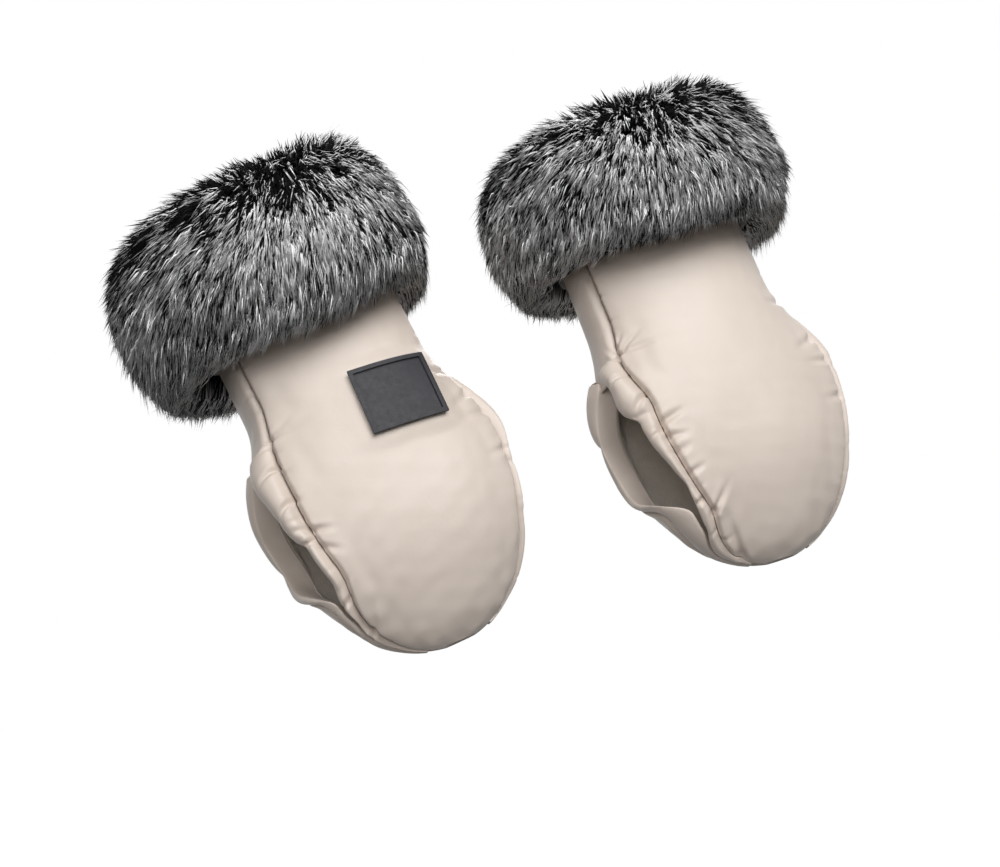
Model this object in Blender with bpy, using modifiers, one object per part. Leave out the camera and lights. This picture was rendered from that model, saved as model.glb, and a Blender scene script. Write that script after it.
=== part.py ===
"""A pair of padded hand muffs with fur cuffs, standing on the line of a pushchair's handlebar.

Metres, +Z up, +X along the handlebar. The fronts of the muffs face -Y and their cuffs point up.
The origin is on the handlebar's axis, midway between the muffs.
"""

import math

import bmesh
import bpy
from mathutils import Matrix, Vector

# The handlebar and the place of the muffs on it
BAR_DIAMETER = 0.036
BAR_CLEARANCE = 0.0015
MUFF_SPACING = 0.232
LEAN_BACK = math.radians(13)
LEFT_LEAN = math.radians(10)
RIGHT_LEAN = math.radians(3)

# The padded body, heights from the handlebar's axis along the muff
TIP_DROP = 0.088
SLIT_TOP = 0.076
BEND_HEIGHT = 0.036
SHELL_TOP = 0.150
PALM_WIDTH = 0.168
PALM_DEPTH = 0.090
WRIST_WIDTH = 0.126
WRIST_DEPTH = 0.078
WIDTH_TAPER = (0.022, 0.096)
DEPTH_TAPER = (0.010, 0.125)
TIP_WIDTH_POWER = 1.85
TIP_DEPTH_POWERS = (2.0, 0.7)
SECTION_POWER = 0.8

# The seams between the front or the back and the sides: how far round they lie from its middle.
# They draw nearer to the middle beside the handlebar, where the lips are wide.
SEAM_ANGLE = math.radians(66)
SEAM_ANGLE_AT_BAR = math.radians(46)
SEAM_NARROWS = (0.084, 0.024)
SEAM_WIDENS = (-0.016, -0.080)
PADDING_ANGLE_SHARE = 0.83

# How near the layers come to the tip
SHELL_TIP_MARGIN = 0.001
LIP_TIP_MARGIN = 0.004
WADDING_TIP_MARGIN = 0.021

# Layers, from the outside in
SHELL_THICKNESS = 0.0006
WADDING_THICKNESS = 0.006
LINING_THICKNESS = 0.001
LIP_THICKNESS = 0.0009
SIDE_BAND_THICKNESS = 0.0012
LAYER_GAP = 0.0003
PLY_GAP = 0.0008
SEWN_GAP = 0.0009
BEND_GAP = 0.0010
HINGE_STANDOFF = 0.0006
SEAM_DRAW = 0.0016
SEAM_DRAW_FADE = 3.0

# The side slits and their turned-in lips
SLIT_CLOSE_ABOVE = 0.055
SLIT_CLOSE_BELOW = 0.066
SLIT_POWER = 1.6
SNAPPED_GAPS = 1.5
FLANGE_WIDTH = 0.015
FLANGE_WIDTH_SHARE = 0.42
LIP_PUFF_SHARE = 0.10

# Snap fasteners
SNAP_DROP = 0.0720
SNAP_INSET = 0.0098
SNAP_CAP_RADIUS = 0.0045
SNAP_CAP_HEIGHT = 0.0014
SNAP_SOCKET_RADIUS = 0.0040
SNAP_SOCKET_THICKNESS = 0.0017
SNAP_STUD_RADIUS = 0.0037
SNAP_NOSE_RADIUS = 0.0016
SNAP_NOSE_CLEARANCE = 0.0007
SNAP_NOSE_LENGTH = 0.0012

# The cuff
CUFF_BOTTOM = 0.122
CUFF_HEIGHT = 0.114
CUFF_BAND_THICKNESS = 0.005
CUFF_BAND_INSET = 0.003
LEFT_PILE = (0.0365, 0.0075)
RIGHT_PILE = (0.040, 0.0)
LINING_FLARE = 0.022
LINING_TOP_INSET = 0.002

# The badge on the left muff, its place on the front and its turn
BADGE_WIDTH = 0.050
BADGE_HEIGHT = 0.044
BADGE_THICKNESS = 0.0020
BADGE_BORDER_WIDTH = 0.0028
BADGE_BORDER_RISE = 0.0010
BADGE_X = 0.0240
BADGE_Z = 0.0635
BADGE_TURN = math.radians(-4)

# Faces across, round and along the pieces
PANEL_STEPS_ACROSS = 12
FLAP_STEPS_ALONG = 9
WRIST_STEPS_ALONG = 5
BACK_STEPS_ALONG = 15
PADDING_STEPS_ACROSS = 10
PADDING_FLAP_STEPS_ALONG = 7
PADDING_WRIST_STEPS_ALONG = 4
PADDING_BACK_STEPS_ALONG = 12
SLEEVE_STEPS_ROUND = 32
SLEEVE_STEPS_ALONG = 3
LIP_STEPS_ACROSS = 4
LIP_STEPS_ALONG = 13
LIP_TOP_STEPS_ALONG = 4
BAND_STEPS_ACROSS = 3
SNAP_SIDES = 10
BADGE_STEPS = 6
BADGE_SIDE_STEPS = 6

# The fur cuff's section: how far the pile stands out, and how high, as shares of its depth and height
CUFF_SECTION_SHARES = (
    (0.00, 0.06), (0.26, -0.02), (0.62, 0.00), (0.90, 0.14), (1.00, 0.36), (0.98, 0.60),
    (0.84, 0.82), (0.58, 0.97), (0.26, 1.04), (0.00, 1.00), (0.00, 0.68), (0.00, 0.36),
)
CAP_SECTION_SHARES = ((0.0, 1.0), (0.55, 0.92), (0.9, 0.6), (1.0, 0.2), (1.0, 0.0), (0.0, 0.0))

FRONT = -1
BACK = 1
MERGE_DISTANCE = 0.00001
NORMAL_STEP = 0.001

FINISHES = {
    "nylon": ((0.60, 0.51, 0.42), 0.45, 0.0),
    "facing": ((0.55, 0.46, 0.38), 0.50, 0.0),
    "wadding": ((0.86, 0.85, 0.82), 0.90, 0.0),
    "fleece": ((0.62, 0.54, 0.45), 0.95, 0.0),
    "fur": ((0.16, 0.16, 0.17), 0.80, 0.0),
    "band": ((0.30, 0.28, 0.26), 0.90, 0.0),
    "rubber": ((0.035, 0.036, 0.040), 0.55, 0.0),
    "steel": ((0.62, 0.62, 0.60), 0.30, 1.0),
}


def clear_scene():
    for obj in list(bpy.data.objects):
        bpy.data.objects.remove(obj, do_unlink=True)


def new_collection(name):
    collection = bpy.data.collections.new(name)
    bpy.context.scene.collection.children.link(collection)
    return collection


def material_for(name, finish):
    """The piece's own Principled material, in one of the named finishes."""
    colour, roughness, metallic = FINISHES[finish]
    material = bpy.data.materials.new(name + "_" + finish)
    material.use_nodes = True
    shader = material.node_tree.nodes["Principled BSDF"]
    shader.inputs["Base Color"].default_value = (*colour, 1.0)
    shader.inputs["Roughness"].default_value = roughness
    shader.inputs["Metallic"].default_value = metallic
    material.diffuse_color = (*colour, 1.0)
    return material


def smooth_step(share):
    """0 up to share 0, 1 from share 1, and a soft S between."""
    share = min(max(share, 0.0), 1.0)
    return share * share * (3 - 2 * share)


def between(low, high, share):
    return low + (high - low) * share


def share_of(height, reach):
    """How far a height has come from the first end of a reach to the second, not held to 0 and 1."""
    return (height - reach[0]) / (reach[1] - reach[0])


def half_width(height):
    """Widest a little above the handlebar, round below it and drawn in to a waist above it."""
    if height < WIDTH_TAPER[0]:
        share = min(share_of(height, (WIDTH_TAPER[0], -TIP_DROP)), 1.0)
        return PALM_WIDTH / 2 * math.sqrt(1 - share**TIP_WIDTH_POWER)
    return between(PALM_WIDTH, WRIST_WIDTH, smooth_step(share_of(height, WIDTH_TAPER))) / 2


def half_depth(height):
    if height < 0:
        share = min(-height / TIP_DROP, 1.0)
        return PALM_DEPTH / 2 * (1 - share ** TIP_DEPTH_POWERS[0]) ** TIP_DEPTH_POWERS[1]
    return between(PALM_DEPTH, WRIST_DEPTH, smooth_step(share_of(height, DEPTH_TAPER))) / 2


def seam_angle(height):
    """How far round from the middle of the front or the back its side seams lie."""
    narrowed = smooth_step(share_of(height, SEAM_NARROWS)) * (1 - smooth_step(share_of(height, SEAM_WIDENS)))
    return between(SEAM_ANGLE, SEAM_ANGLE_AT_BAR, narrowed)


def power_keeping_sign(value, power):
    return math.copysign(abs(value) ** power, value)


def skin_point(angle, height):
    """A point of the outer surface. The angle runs from the middle of the front towards +X."""
    across = power_keeping_sign(math.sin(angle), SECTION_POWER)
    deep = power_keeping_sign(math.cos(angle), SECTION_POWER)
    return Vector((half_width(height) * across, -half_depth(height) * deep, height))


def skin_normal(angle, height):
    """The outward direction there, from two short steps on the surface."""
    low = max(height - NORMAL_STEP, -TIP_DROP + NORMAL_STEP / 2)
    round_step = skin_point(angle + NORMAL_STEP, height) - skin_point(angle - NORMAL_STEP, height)
    up_step = skin_point(angle, height + NORMAL_STEP) - skin_point(angle, low)
    return round_step.cross(up_step).normalized()


def layer_point(angle, height, depth):
    """A point at a depth below the outer surface. A negative depth lies outside it."""
    return skin_point(angle, height) - skin_normal(angle, height) * depth


def angle_for(length, angle, height):
    """The angle that a short length takes up along the section."""
    step = skin_point(angle + NORMAL_STEP, height) - skin_point(angle - NORMAL_STEP, height)
    return 2 * NORMAL_STEP * length / step.length


def seam_draw(height):
    """How deep the seams are drawn in, less where the muff gets thin towards its tip."""
    return SEAM_DRAW * min(half_depth(height) * SEAM_DRAW_FADE / PALM_DEPTH, 1.0)


def at_edge(share):
    """1 on the first and the last column of a grid, and 0 between."""
    return float(min(share, 1 - share) < NORMAL_STEP)


def mapped_grid(across, along, place, outwards):
    """A grid whose squares are moved by place(u, v), with its faces turned to the outside."""
    grid = bmesh.new()
    bmesh.ops.create_grid(grid, x_segments=across, y_segments=along, size=0.5)
    for vertex in grid.verts:
        vertex.co = place(vertex.co.x + 0.5, vertex.co.y + 0.5)
    bmesh.ops.remove_doubles(grid, verts=grid.verts, dist=MERGE_DISTANCE)
    grid.normal_update()
    facing = 0.0
    for face in grid.faces:
        facing += face.normal.dot(outwards(face.calc_center_median())) * face.calc_area()
    if facing < 0:
        bmesh.ops.reverse_faces(grid, faces=grid.faces)
    return grid


def away_from_axis(centre):
    return Vector((centre.x, centre.y, 0))


def to_front(centre):
    return Vector((0, FRONT, 0))


def new_piece(name, mesh_source, finish, collection, parent):
    """An object in the muff's own frame, hung from the muff's empty or from its flap's."""
    mesh = bpy.data.meshes.new(name)
    mesh_source.to_mesh(mesh)
    mesh_source.free()
    mesh.shade_smooth()
    mesh.materials.append(material_for(name, finish))
    piece = bpy.data.objects.new(name, mesh)
    collection.objects.link(piece)
    piece.parent = parent
    if parent.parent:
        piece.location = -parent.location
    return piece


def thicken(piece, thickness):
    """Turns the open surface into a closed wall that lies inside it."""
    solidify = piece.modifiers.new("thickness", "SOLIDIFY")
    solidify.thickness = thickness
    solidify.offset = -1
    return piece


def panel(low, high, depth, side, across, along, sewn):
    """Part of the front or the back at a depth below the surface, between two heights.

    A sewn panel reaches its seams, where its outermost column is drawn in. Padding stops short of them.
    """
    middle_angle = 0 if side == FRONT else math.pi
    angle_share = 1.0 if sewn else PADDING_ANGLE_SHARE
    low_share, high_share = (height_to_share(low), height_to_share(high))

    def place(u, v):
        height = share_to_height(between(low_share, high_share, v))
        edge_angle = seam_angle(height) * angle_share
        angle = middle_angle + between(-edge_angle, edge_angle, u)
        return layer_point(angle, height, depth + sewn * seam_draw(height) * at_edge(u))

    return mapped_grid(across, along, place, away_from_axis)


def height_to_share(height):
    """Heights as shares that run evenly along the surface, closer together towards the round tip."""
    if height >= 0:
        return height / TIP_DROP
    return -math.asin(min(-height / TIP_DROP, 1.0)) * 2 / math.pi


def share_to_height(share):
    if share >= 0:
        return share * TIP_DROP
    return -TIP_DROP * math.sin(-share * math.pi / 2)


def sleeve(low, high, depth_at):
    """A tube round the wrist. depth_at gives its depth below the surface at each height."""

    def place(u, v):
        height = between(low, high, v)
        return layer_point(between(0, 2 * math.pi, u), height, depth_at(height))

    return mapped_grid(SLEEVE_STEPS_ROUND, SLEEVE_STEPS_ALONG, place, away_from_axis)


def closed_half_gap():
    """Half the gap between lips that are snapped together: one half of a fastener lies in it."""
    return SNAP_SOCKET_THICKNESS + SNAPPED_GAPS * LAYER_GAP


def slit_half_gap(height):
    """Half the width of the side slit, widest where the handlebar passes."""
    open_half = BAR_DIAMETER / 2 + BAR_CLEARANCE
    reach = SLIT_CLOSE_ABOVE if height > 0 else SLIT_CLOSE_BELOW
    share = min(abs(height) / reach, 1.0) ** SLIT_POWER
    return between(closed_half_gap(), open_half, math.cos(math.pi / 2 * share) ** 2)


def fold_angle(height):
    """Where the section comes as near to the side slit as the lip's folded edge."""
    share = min(slit_half_gap(height) / half_depth(height), 1.0)
    return math.acos(share ** (1 / SECTION_POWER))


def seam_edge(height):
    """Where a lip or a side band starts, a sewing gap past the panel's edge."""
    seam = seam_angle(height)
    return seam + angle_for(SEWN_GAP, seam, height)


def lip(low, high, side, hand):
    """A facing along one slit: from the panel's seam round to the fold, then turned in as a flange."""
    low_share, high_share = (height_to_share(low), height_to_share(high))

    def place(u, v):
        height = share_to_height(between(low_share, high_share, v))
        seam = seam_edge(height)
        fold = max(fold_angle(height), seam)
        folded = min(u * 2, 1.0)
        width = (skin_point(seam, height) - skin_point(fold, height)).length
        puff = LIP_PUFF_SHARE * width * math.sin(math.pi * folded)
        drawn = seam_draw(height) * at_edge(u) * (u < 0.5)
        point = layer_point(between(seam, fold, folded), height, drawn - puff)
        turned_in = max(u * 2 - 1, 0.0) * min(FLANGE_WIDTH, point.x * FLANGE_WIDTH_SHARE)
        return Vector((hand * (point.x - turned_in), -side * point.y, height))

    along = LIP_STEPS_ALONG if low < 0 else LIP_TOP_STEPS_ALONG
    return mapped_grid(LIP_STEPS_ACROSS, along, place, away_from_axis)


def side_band(low, high, hand):
    """The gusset between the front and back seams, from the notch up under the cuff."""

    def place(u, v):
        height = between(low, high, v)
        edge = seam_edge(height)
        return layer_point(hand * between(edge, math.pi - edge, u), height, seam_draw(height) * at_edge(u))

    return mapped_grid(BAND_STEPS_ACROSS, WRIST_STEPS_ALONG, place, away_from_axis)


def fur_cuff(pile):
    """The fur as one plump ring, standing off the cuff band by its pile.

    pile is the pile's mean depth, and how much less of it lies towards +X and more towards -X.
    """
    rows = len(CUFF_SECTION_SHARES)
    inner = PLY_GAP + CUFF_BAND_THICKNESS + LAYER_GAP
    mean_depth, lopsided = pile

    def place(u, v):
        out_share, height_share = CUFF_SECTION_SHARES[round(v * rows) % rows]
        height = CUFF_BOTTOM + height_share * CUFF_HEIGHT
        angle = between(0, 2 * math.pi, u)
        depth = mean_depth - lopsided * math.sin(angle)
        return layer_point(angle, height, -(inner + out_share * depth))

    grid = mapped_grid(SLEEVE_STEPS_ROUND, rows, place, away_from_axis)
    bmesh.ops.recalc_face_normals(grid, faces=grid.faces)
    return grid


def turned(profile, turn_towards):
    """A round piece about the Y axis from a profile of (radius, height) points, spun and welded."""
    spun = bmesh.new()
    points = [spun.verts.new((radius, 0, height)) for radius, height in profile]
    edges = [spun.edges.new(pair) for pair in zip(points, points[1:])]
    if profile[0][0] > 0:
        edges.append(spun.edges.new((points[-1], points[0])))
    bmesh.ops.spin(
        spun, geom=points + edges, cent=(0, 0, 0), axis=(0, 0, 1), angle=2 * math.pi, steps=SNAP_SIDES
    )
    bmesh.ops.remove_doubles(spun, verts=spun.verts, dist=MERGE_DISTANCE)
    bmesh.ops.recalc_face_normals(spun, faces=spun.faces)
    bmesh.ops.rotate(
        spun, verts=spun.verts, cent=(0, 0, 0), matrix=Matrix.Rotation(turn_towards * math.pi / 2, 3, "X")
    )
    return spun


def snap_place(hand):
    """The fastener's centre in the slit's middle plane, near the tip."""
    edge = skin_point(fold_angle(-SNAP_DROP), -SNAP_DROP)
    return Vector((hand * (edge.x - SNAP_INSET), 0, -SNAP_DROP))


def snap_half(side, hand):
    """The two parts of one half of a fastener: the hidden cap, and the part in the slit."""
    flange_face = closed_half_gap()
    hidden_face = flange_face + LIP_THICKNESS + LAYER_GAP
    cap = [(out * SNAP_CAP_RADIUS, up * SNAP_CAP_HEIGHT) for out, up in CAP_SECTION_SHARES]
    hole = SNAP_NOSE_RADIUS + SNAP_NOSE_CLEARANCE
    thick = SNAP_SOCKET_THICKNESS
    if side == FRONT:
        inner = [(hole, thick), (SNAP_SOCKET_RADIUS, thick), (SNAP_SOCKET_RADIUS, 0), (hole, 0)]
    else:
        inner = [
            (0, thick),
            (SNAP_STUD_RADIUS, thick),
            (SNAP_STUD_RADIUS, 0),
            (SNAP_NOSE_RADIUS, 0),
            (SNAP_NOSE_RADIUS, -SNAP_NOSE_LENGTH),
            (0, -SNAP_NOSE_LENGTH),
        ]
    pieces = []
    for profile, stand_off in ((cap, hidden_face), (inner, LAYER_GAP / 2)):
        spun = turned(profile, -side)
        place = snap_place(hand) + Vector((0, side * stand_off, 0))
        bmesh.ops.translate(spun, verts=spun.verts, vec=place)
        pieces.append(spun)
    return pieces


def front_point(x, height, stand_off):
    """A point that stands off the front of the muff at a place across it."""
    share = min(abs(x) / half_width(height), 1.0)
    angle = math.copysign(math.asin(share ** (1 / SECTION_POWER)), x)
    return layer_point(angle, height, -stand_off)


def badge_point(across, up, stand_off):
    """A point of the badge from its middle, turned with it and bent over the panel."""
    x = BADGE_X + across * math.cos(BADGE_TURN) - up * math.sin(BADGE_TURN)
    height = BADGE_Z + across * math.sin(BADGE_TURN) + up * math.cos(BADGE_TURN)
    return front_point(x, height, stand_off)


def badge_plate():
    stand_off = LAYER_GAP + BADGE_THICKNESS

    def place(u, v):
        return badge_point((u - 0.5) * BADGE_WIDTH, (v - 0.5) * BADGE_HEIGHT, stand_off)

    return mapped_grid(BADGE_STEPS, BADGE_STEPS, place, to_front)


def badge_border():
    """The raised frame round the badge's edge."""
    stand_off = 2 * LAYER_GAP + BADGE_THICKNESS + BADGE_BORDER_RISE
    corners = ((-0.5, -0.5), (0.5, -0.5), (0.5, 0.5), (-0.5, 0.5), (-0.5, -0.5))

    def place(u, v):
        inset = v * BADGE_BORDER_WIDTH * 2
        side = min(int(u * 4 + NORMAL_STEP), 3)
        start, end = corners[side], corners[side + 1]
        across = between(start[0], end[0], u * 4 - side) * (BADGE_WIDTH - inset)
        up = between(start[1], end[1], u * 4 - side) * (BADGE_HEIGHT - inset)
        return badge_point(across, up, stand_off)

    return mapped_grid(4 * BADGE_SIDE_STEPS, 1, place, to_front)


def hinge_place():
    """The flap bends on a line across the muff, just outside the front at the bend's height."""
    return Vector((0, -half_depth(BEND_HEIGHT) - HINGE_STANDOFF, BEND_HEIGHT))


def wadding_depth():
    return SHELL_THICKNESS + PLY_GAP


def lining_depth():
    return wadding_depth() + WADDING_THICKNESS + PLY_GAP


def cuff_lining_depth(height):
    """The sleeve's lining starts at the body lining's depth and flares out to the cuff band."""
    return lining_depth() * (1 - smooth_step((height - SHELL_TOP) / LINING_FLARE))


def add_shells(prefix, collection, body, flap):
    bend_low, bend_high = BEND_HEIGHT - BEND_GAP / 2, BEND_HEIGHT + BEND_GAP / 2
    tip = -TIP_DROP + SHELL_TIP_MARGIN
    wide = PANEL_STEPS_ACROSS
    wrist = panel(bend_high, SHELL_TOP, 0, FRONT, wide, WRIST_STEPS_ALONG, sewn=True)
    lower = panel(tip, bend_low, 0, FRONT, wide, FLAP_STEPS_ALONG, sewn=True)
    back = panel(tip, SHELL_TOP, 0, BACK, wide, BACK_STEPS_ALONG, sewn=True)
    thicken(new_piece(prefix + "front_wrist_shell", wrist, "nylon", collection, body), SHELL_THICKNESS)
    thicken(new_piece(prefix + "front_flap_shell", lower, "nylon", collection, flap), SHELL_THICKNESS)
    thicken(new_piece(prefix + "back_shell", back, "nylon", collection, body), SHELL_THICKNESS)


def add_padding(prefix, collection, body, flap):
    """Wadding and lining behind each panel, stopping short of the tip and of the seams."""
    bend_low, bend_high = BEND_HEIGHT - BEND_GAP / 2, BEND_HEIGHT + BEND_GAP / 2
    tip = -TIP_DROP + WADDING_TIP_MARGIN
    wide = PADDING_STEPS_ACROSS
    layers = (
        ("wadding", "wadding", wadding_depth(), WADDING_THICKNESS),
        ("lining", "fleece", lining_depth(), LINING_THICKNESS),
    )
    for layer, finish, depth, thickness in layers:
        wrist = panel(bend_high, SHELL_TOP, depth, FRONT, wide, PADDING_WRIST_STEPS_ALONG, sewn=False)
        lower = panel(tip, bend_low, depth, FRONT, wide, PADDING_FLAP_STEPS_ALONG, sewn=False)
        back = panel(tip, SHELL_TOP, depth, BACK, wide, PADDING_BACK_STEPS_ALONG, sewn=False)
        thicken(new_piece(prefix + "front_wrist_" + layer, wrist, finish, collection, body), thickness)
        thicken(new_piece(prefix + "front_flap_" + layer, lower, finish, collection, flap), thickness)
        thicken(new_piece(prefix + "back_" + layer, back, finish, collection, body), thickness)


def add_sides(prefix, hands, collection, body, flap):
    """The gussets above the notch, and the lips of the slits below it."""
    bend_low, bend_high = BEND_HEIGHT - BEND_GAP / 2, BEND_HEIGHT + BEND_GAP / 2
    notch_low, notch_high = SLIT_TOP - SEWN_GAP / 2, SLIT_TOP + SEWN_GAP / 2
    tip = -TIP_DROP + LIP_TIP_MARGIN
    for edge, hand in hands:
        band = side_band(notch_high, SHELL_TOP, hand)
        thicken(new_piece(prefix + edge + "_side_band", band, "nylon", collection, body), SIDE_BAND_THICKNESS)
        lips = (
            ("_front_lip", tip, bend_low, FRONT, flap),
            ("_front_lip_top", bend_high, notch_low, FRONT, body),
            ("_back_lip", tip, notch_low, BACK, body),
        )
        for label, low, high, side, parent in lips:
            strip = lip(low, high, side, hand)
            thicken(new_piece(prefix + edge + label, strip, "facing", collection, parent), LIP_THICKNESS)


def add_snaps(prefix, hands, collection, body, flap):
    for edge, hand in hands:
        cap, socket = snap_half(FRONT, hand)
        post, stud = snap_half(BACK, hand)
        new_piece(prefix + edge + "_snap_cap", cap, "steel", collection, flap)
        new_piece(prefix + edge + "_snap_socket", socket, "steel", collection, flap)
        new_piece(prefix + edge + "_snap_stud", stud, "steel", collection, body)
        new_piece(prefix + edge + "_snap_post", post, "steel", collection, body)


def add_cuff(prefix, pile, collection, body):
    top = CUFF_BOTTOM + CUFF_HEIGHT
    band = sleeve(
        CUFF_BOTTOM + CUFF_BAND_INSET, top - CUFF_BAND_INSET, lambda height: -PLY_GAP - CUFF_BAND_THICKNESS
    )
    thicken(new_piece(prefix + "cuff_band", band, "band", collection, body), CUFF_BAND_THICKNESS)
    lining = sleeve(SHELL_TOP + BEND_GAP, top - LINING_TOP_INSET, cuff_lining_depth)
    thicken(new_piece(prefix + "cuff_lining", lining, "fleece", collection, body), LINING_THICKNESS)
    new_piece(prefix + "fur_cuff", fur_cuff(pile), "fur", collection, body)


def add_badge(prefix, collection, body):
    plate = new_piece(prefix + "badge_plate", badge_plate(), "rubber", collection, body)
    thicken(plate, BADGE_THICKNESS)
    border = new_piece(prefix + "badge_border", badge_border(), "rubber", collection, body)
    thicken(border, BADGE_BORDER_RISE)


def add_empty(name, collection, parent, location):
    empty = bpy.data.objects.new(name, None)
    collection.objects.link(empty)
    empty.parent = parent
    empty.location = location
    return empty


def build_muff(prefix, hand, lean, pile, collection):
    """One muff. hand is -1 for the left one, whose outer side is at -X."""
    body = add_empty(prefix + "muff_frame", collection, None, (hand * MUFF_SPACING / 2, 0, 0))
    body.rotation_euler = (-LEAN_BACK, -lean, 0)
    flap = add_empty(prefix + "flap_hinge", collection, body, hinge_place())
    hands = (("outer", hand), ("inner", -hand))
    add_shells(prefix, collection, body, flap)
    add_padding(prefix, collection, body, flap)
    add_sides(prefix, hands, collection, body, flap)
    add_snaps(prefix, hands, collection, body, flap)
    add_cuff(prefix, pile, collection, body)
    return body


def build():
    clear_scene()
    collection = new_collection("hand_muffs")
    left = build_muff("left_", -1, LEFT_LEAN, LEFT_PILE, collection)
    build_muff("right_", 1, RIGHT_LEAN, RIGHT_PILE, collection)
    add_badge("left_", collection, left)


build()
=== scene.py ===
"""Looks of a pair of padded hand muffs with fur cuffs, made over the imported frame.

Metres, +Z up, +X along the handlebar. Each muff is shaped in its own upright frame, whose origin is on the
handlebar's axis, and is then leant into its place. The bodies' main sizes and places repeat those of the
part. The seams, the slits, the notches and the padding's thickness are drawn after the photograph.
"""

import math

import bpy
import numpy as np
from bpy.props import FloatProperty, FloatVectorProperty, IntProperty
from bpy.types import Operator, Panel, PropertyGroup
from mathutils import Matrix, Vector


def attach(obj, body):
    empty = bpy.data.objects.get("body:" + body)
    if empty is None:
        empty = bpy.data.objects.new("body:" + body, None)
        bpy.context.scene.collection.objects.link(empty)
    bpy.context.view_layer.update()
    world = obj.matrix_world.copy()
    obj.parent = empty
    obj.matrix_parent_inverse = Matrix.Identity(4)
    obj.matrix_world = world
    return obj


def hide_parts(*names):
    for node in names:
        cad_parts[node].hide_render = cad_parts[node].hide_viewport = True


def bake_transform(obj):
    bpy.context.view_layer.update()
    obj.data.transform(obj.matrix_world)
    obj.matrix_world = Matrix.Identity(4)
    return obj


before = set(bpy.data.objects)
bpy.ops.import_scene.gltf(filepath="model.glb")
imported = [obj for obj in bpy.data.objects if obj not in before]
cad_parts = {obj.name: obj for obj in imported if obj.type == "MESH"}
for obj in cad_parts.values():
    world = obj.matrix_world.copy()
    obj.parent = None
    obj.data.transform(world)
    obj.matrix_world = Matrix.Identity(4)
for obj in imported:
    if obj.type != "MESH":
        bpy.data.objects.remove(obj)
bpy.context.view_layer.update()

bl_info = {
    "name": "Padded hand muffs",
    "version": (1, 0, 0),
    "blender": (4, 5, 0),
    "location": "3D View > Sidebar > Hand muffs",
    "description": "Nylon panels, lips, linings, fur cuffs, snaps and badge of a pair of hand muffs",
    "category": "Add Mesh",
}

# Each muff's name and the side of the pair that it is on
MUFFS = (("left", -1), ("right", 1))
FRONT = -1
BACK = 1

# Shapes that the part's surface is made of
TIP_WIDTH_POWER = 1.85
TIP_DEPTH_POWERS = (2.0, 0.7)
SECTION_POWER = 0.8
WIDTH_TAPER = (0.022, 0.096)
DEPTH_TAPER = (0.010, 0.125)
SLIT_POWER = 1.6
NORMAL_STEP = 0.001
TINY = 1e-9

# Seams on each side, in degrees from the front's middle: under the cuff, beside the handlebar and at the
# tip. The first number of a key is the muff's side of the pair, the second the side of the muff.
SEAM_DEGREES = {(-1, -1): (58, 44, 80), (1, -1): (67, 39, 70), (-1, 1): (77, 65, 78), (1, 1): (77, 65, 78)}
SEAM_NARROWS = (0.082, 0.026)
SEAM_WIDENS = {-1: (-0.020, -0.085), 1: (-0.045, -0.090)}

# On the side that the slit shows: (height as a share of the tip's drop, degrees from the front's middle)
FRONT_FOLD_SHARES = {
    -1: (
        (-1.0, 88), (-0.81, 86), (-0.70, 77), (-0.60, 67), (-0.49, 64), (-0.40, 59), (-0.32, 53.5),
        (-0.11, 52.7), (-0.01, 51.5), (0.04, 56), (0.14, 59), (0.25, 60), (0.38, 65), (0.50, 74),
        (0.62, 84), (0.74, 88), (1.0, 89),
    ),
    1: (
        (-1.0, 88), (-0.82, 84), (-0.75, 70), (-0.67, 56), (-0.51, 48.5), (-0.41, 46), (-0.32, 44),
        (-0.26, 45.5), (-0.10, 47.7), (0.0, 50), (0.16, 51.5), (0.24, 51), (0.30, 60), (0.39, 65),
        (0.51, 68), (0.60, 74), (0.68, 84), (0.76, 88), (1.0, 89),
    ),
}
BACK_FOLD_SHARES = {
    -1: (
        (-1.0, 92), (-0.81, 90), (-0.70, 81), (-0.60, 71), (-0.49, 68), (-0.42, 64), (-0.34, 76),
        (-0.25, 89), (-0.20, 96), (-0.12, 105), (0.0, 109), (0.25, 106), (0.5, 97), (0.62, 92), (1.0, 91),
    ),
    1: (
        (-1.0, 92), (-0.82, 88), (-0.75, 74), (-0.67, 60), (-0.51, 53), (-0.47, 54), (-0.40, 68),
        (-0.34, 82), (-0.28, 93), (-0.18, 105), (0.0, 109), (0.25, 106), (0.5, 97), (0.62, 92), (1.0, 91),
    ),
}
BACK_SEAM_SHARES = {
    -1: (
        (-1.0, 112), (-0.81, 102), (-0.74, 96), (-0.62, 83), (-0.50, 79), (-0.40, 80), (-0.34, 88),
        (-0.25, 102), (-0.15, 115), (0.0, 126), (0.3, 132), (0.6, 124), (0.9, 117), (1.8, 114),
    ),
    1: (
        (-1.0, 112), (-0.87, 104), (-0.76, 97), (-0.60, 87), (-0.47, 83), (-0.40, 86), (-0.32, 100),
        (-0.20, 115), (0.0, 126), (0.3, 132), (0.6, 124), (0.9, 116), (1.8, 112),
    ),
}
CURVE_BLEND_SHARES = (-0.03, -0.015, 0.0, 0.015, 0.03)
EDGE_CROWDING = 0.12 * math.sin(1)

# Layers: the padded wall of nylon and wadding, the lining's depth below the surface, and the rest
WADDING_THICKNESS = 0.0045
LINING_DEPTH = 0.0082
LINING_THICKNESS = 0.001
LIP_THICKNESS = 0.0009
SIDE_BAND_THICKNESS = 0.0012
SEWN_GAP = 0.0004
CLOSED_HALF_GAP = 0.00215

# How the layers end near the tip, at the notch and at the slit
TIP_MARGIN = 0.001
LIP_TIP_MARGIN = 0.004
LINING_TIP_MARGIN = 0.021
NOTCH_DIP = 0.009
FLANGE_WIDTH = 0.015
FLANGE_WIDTH_SHARE = 0.42
FLANGE_SLACK = 0.0006

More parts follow.
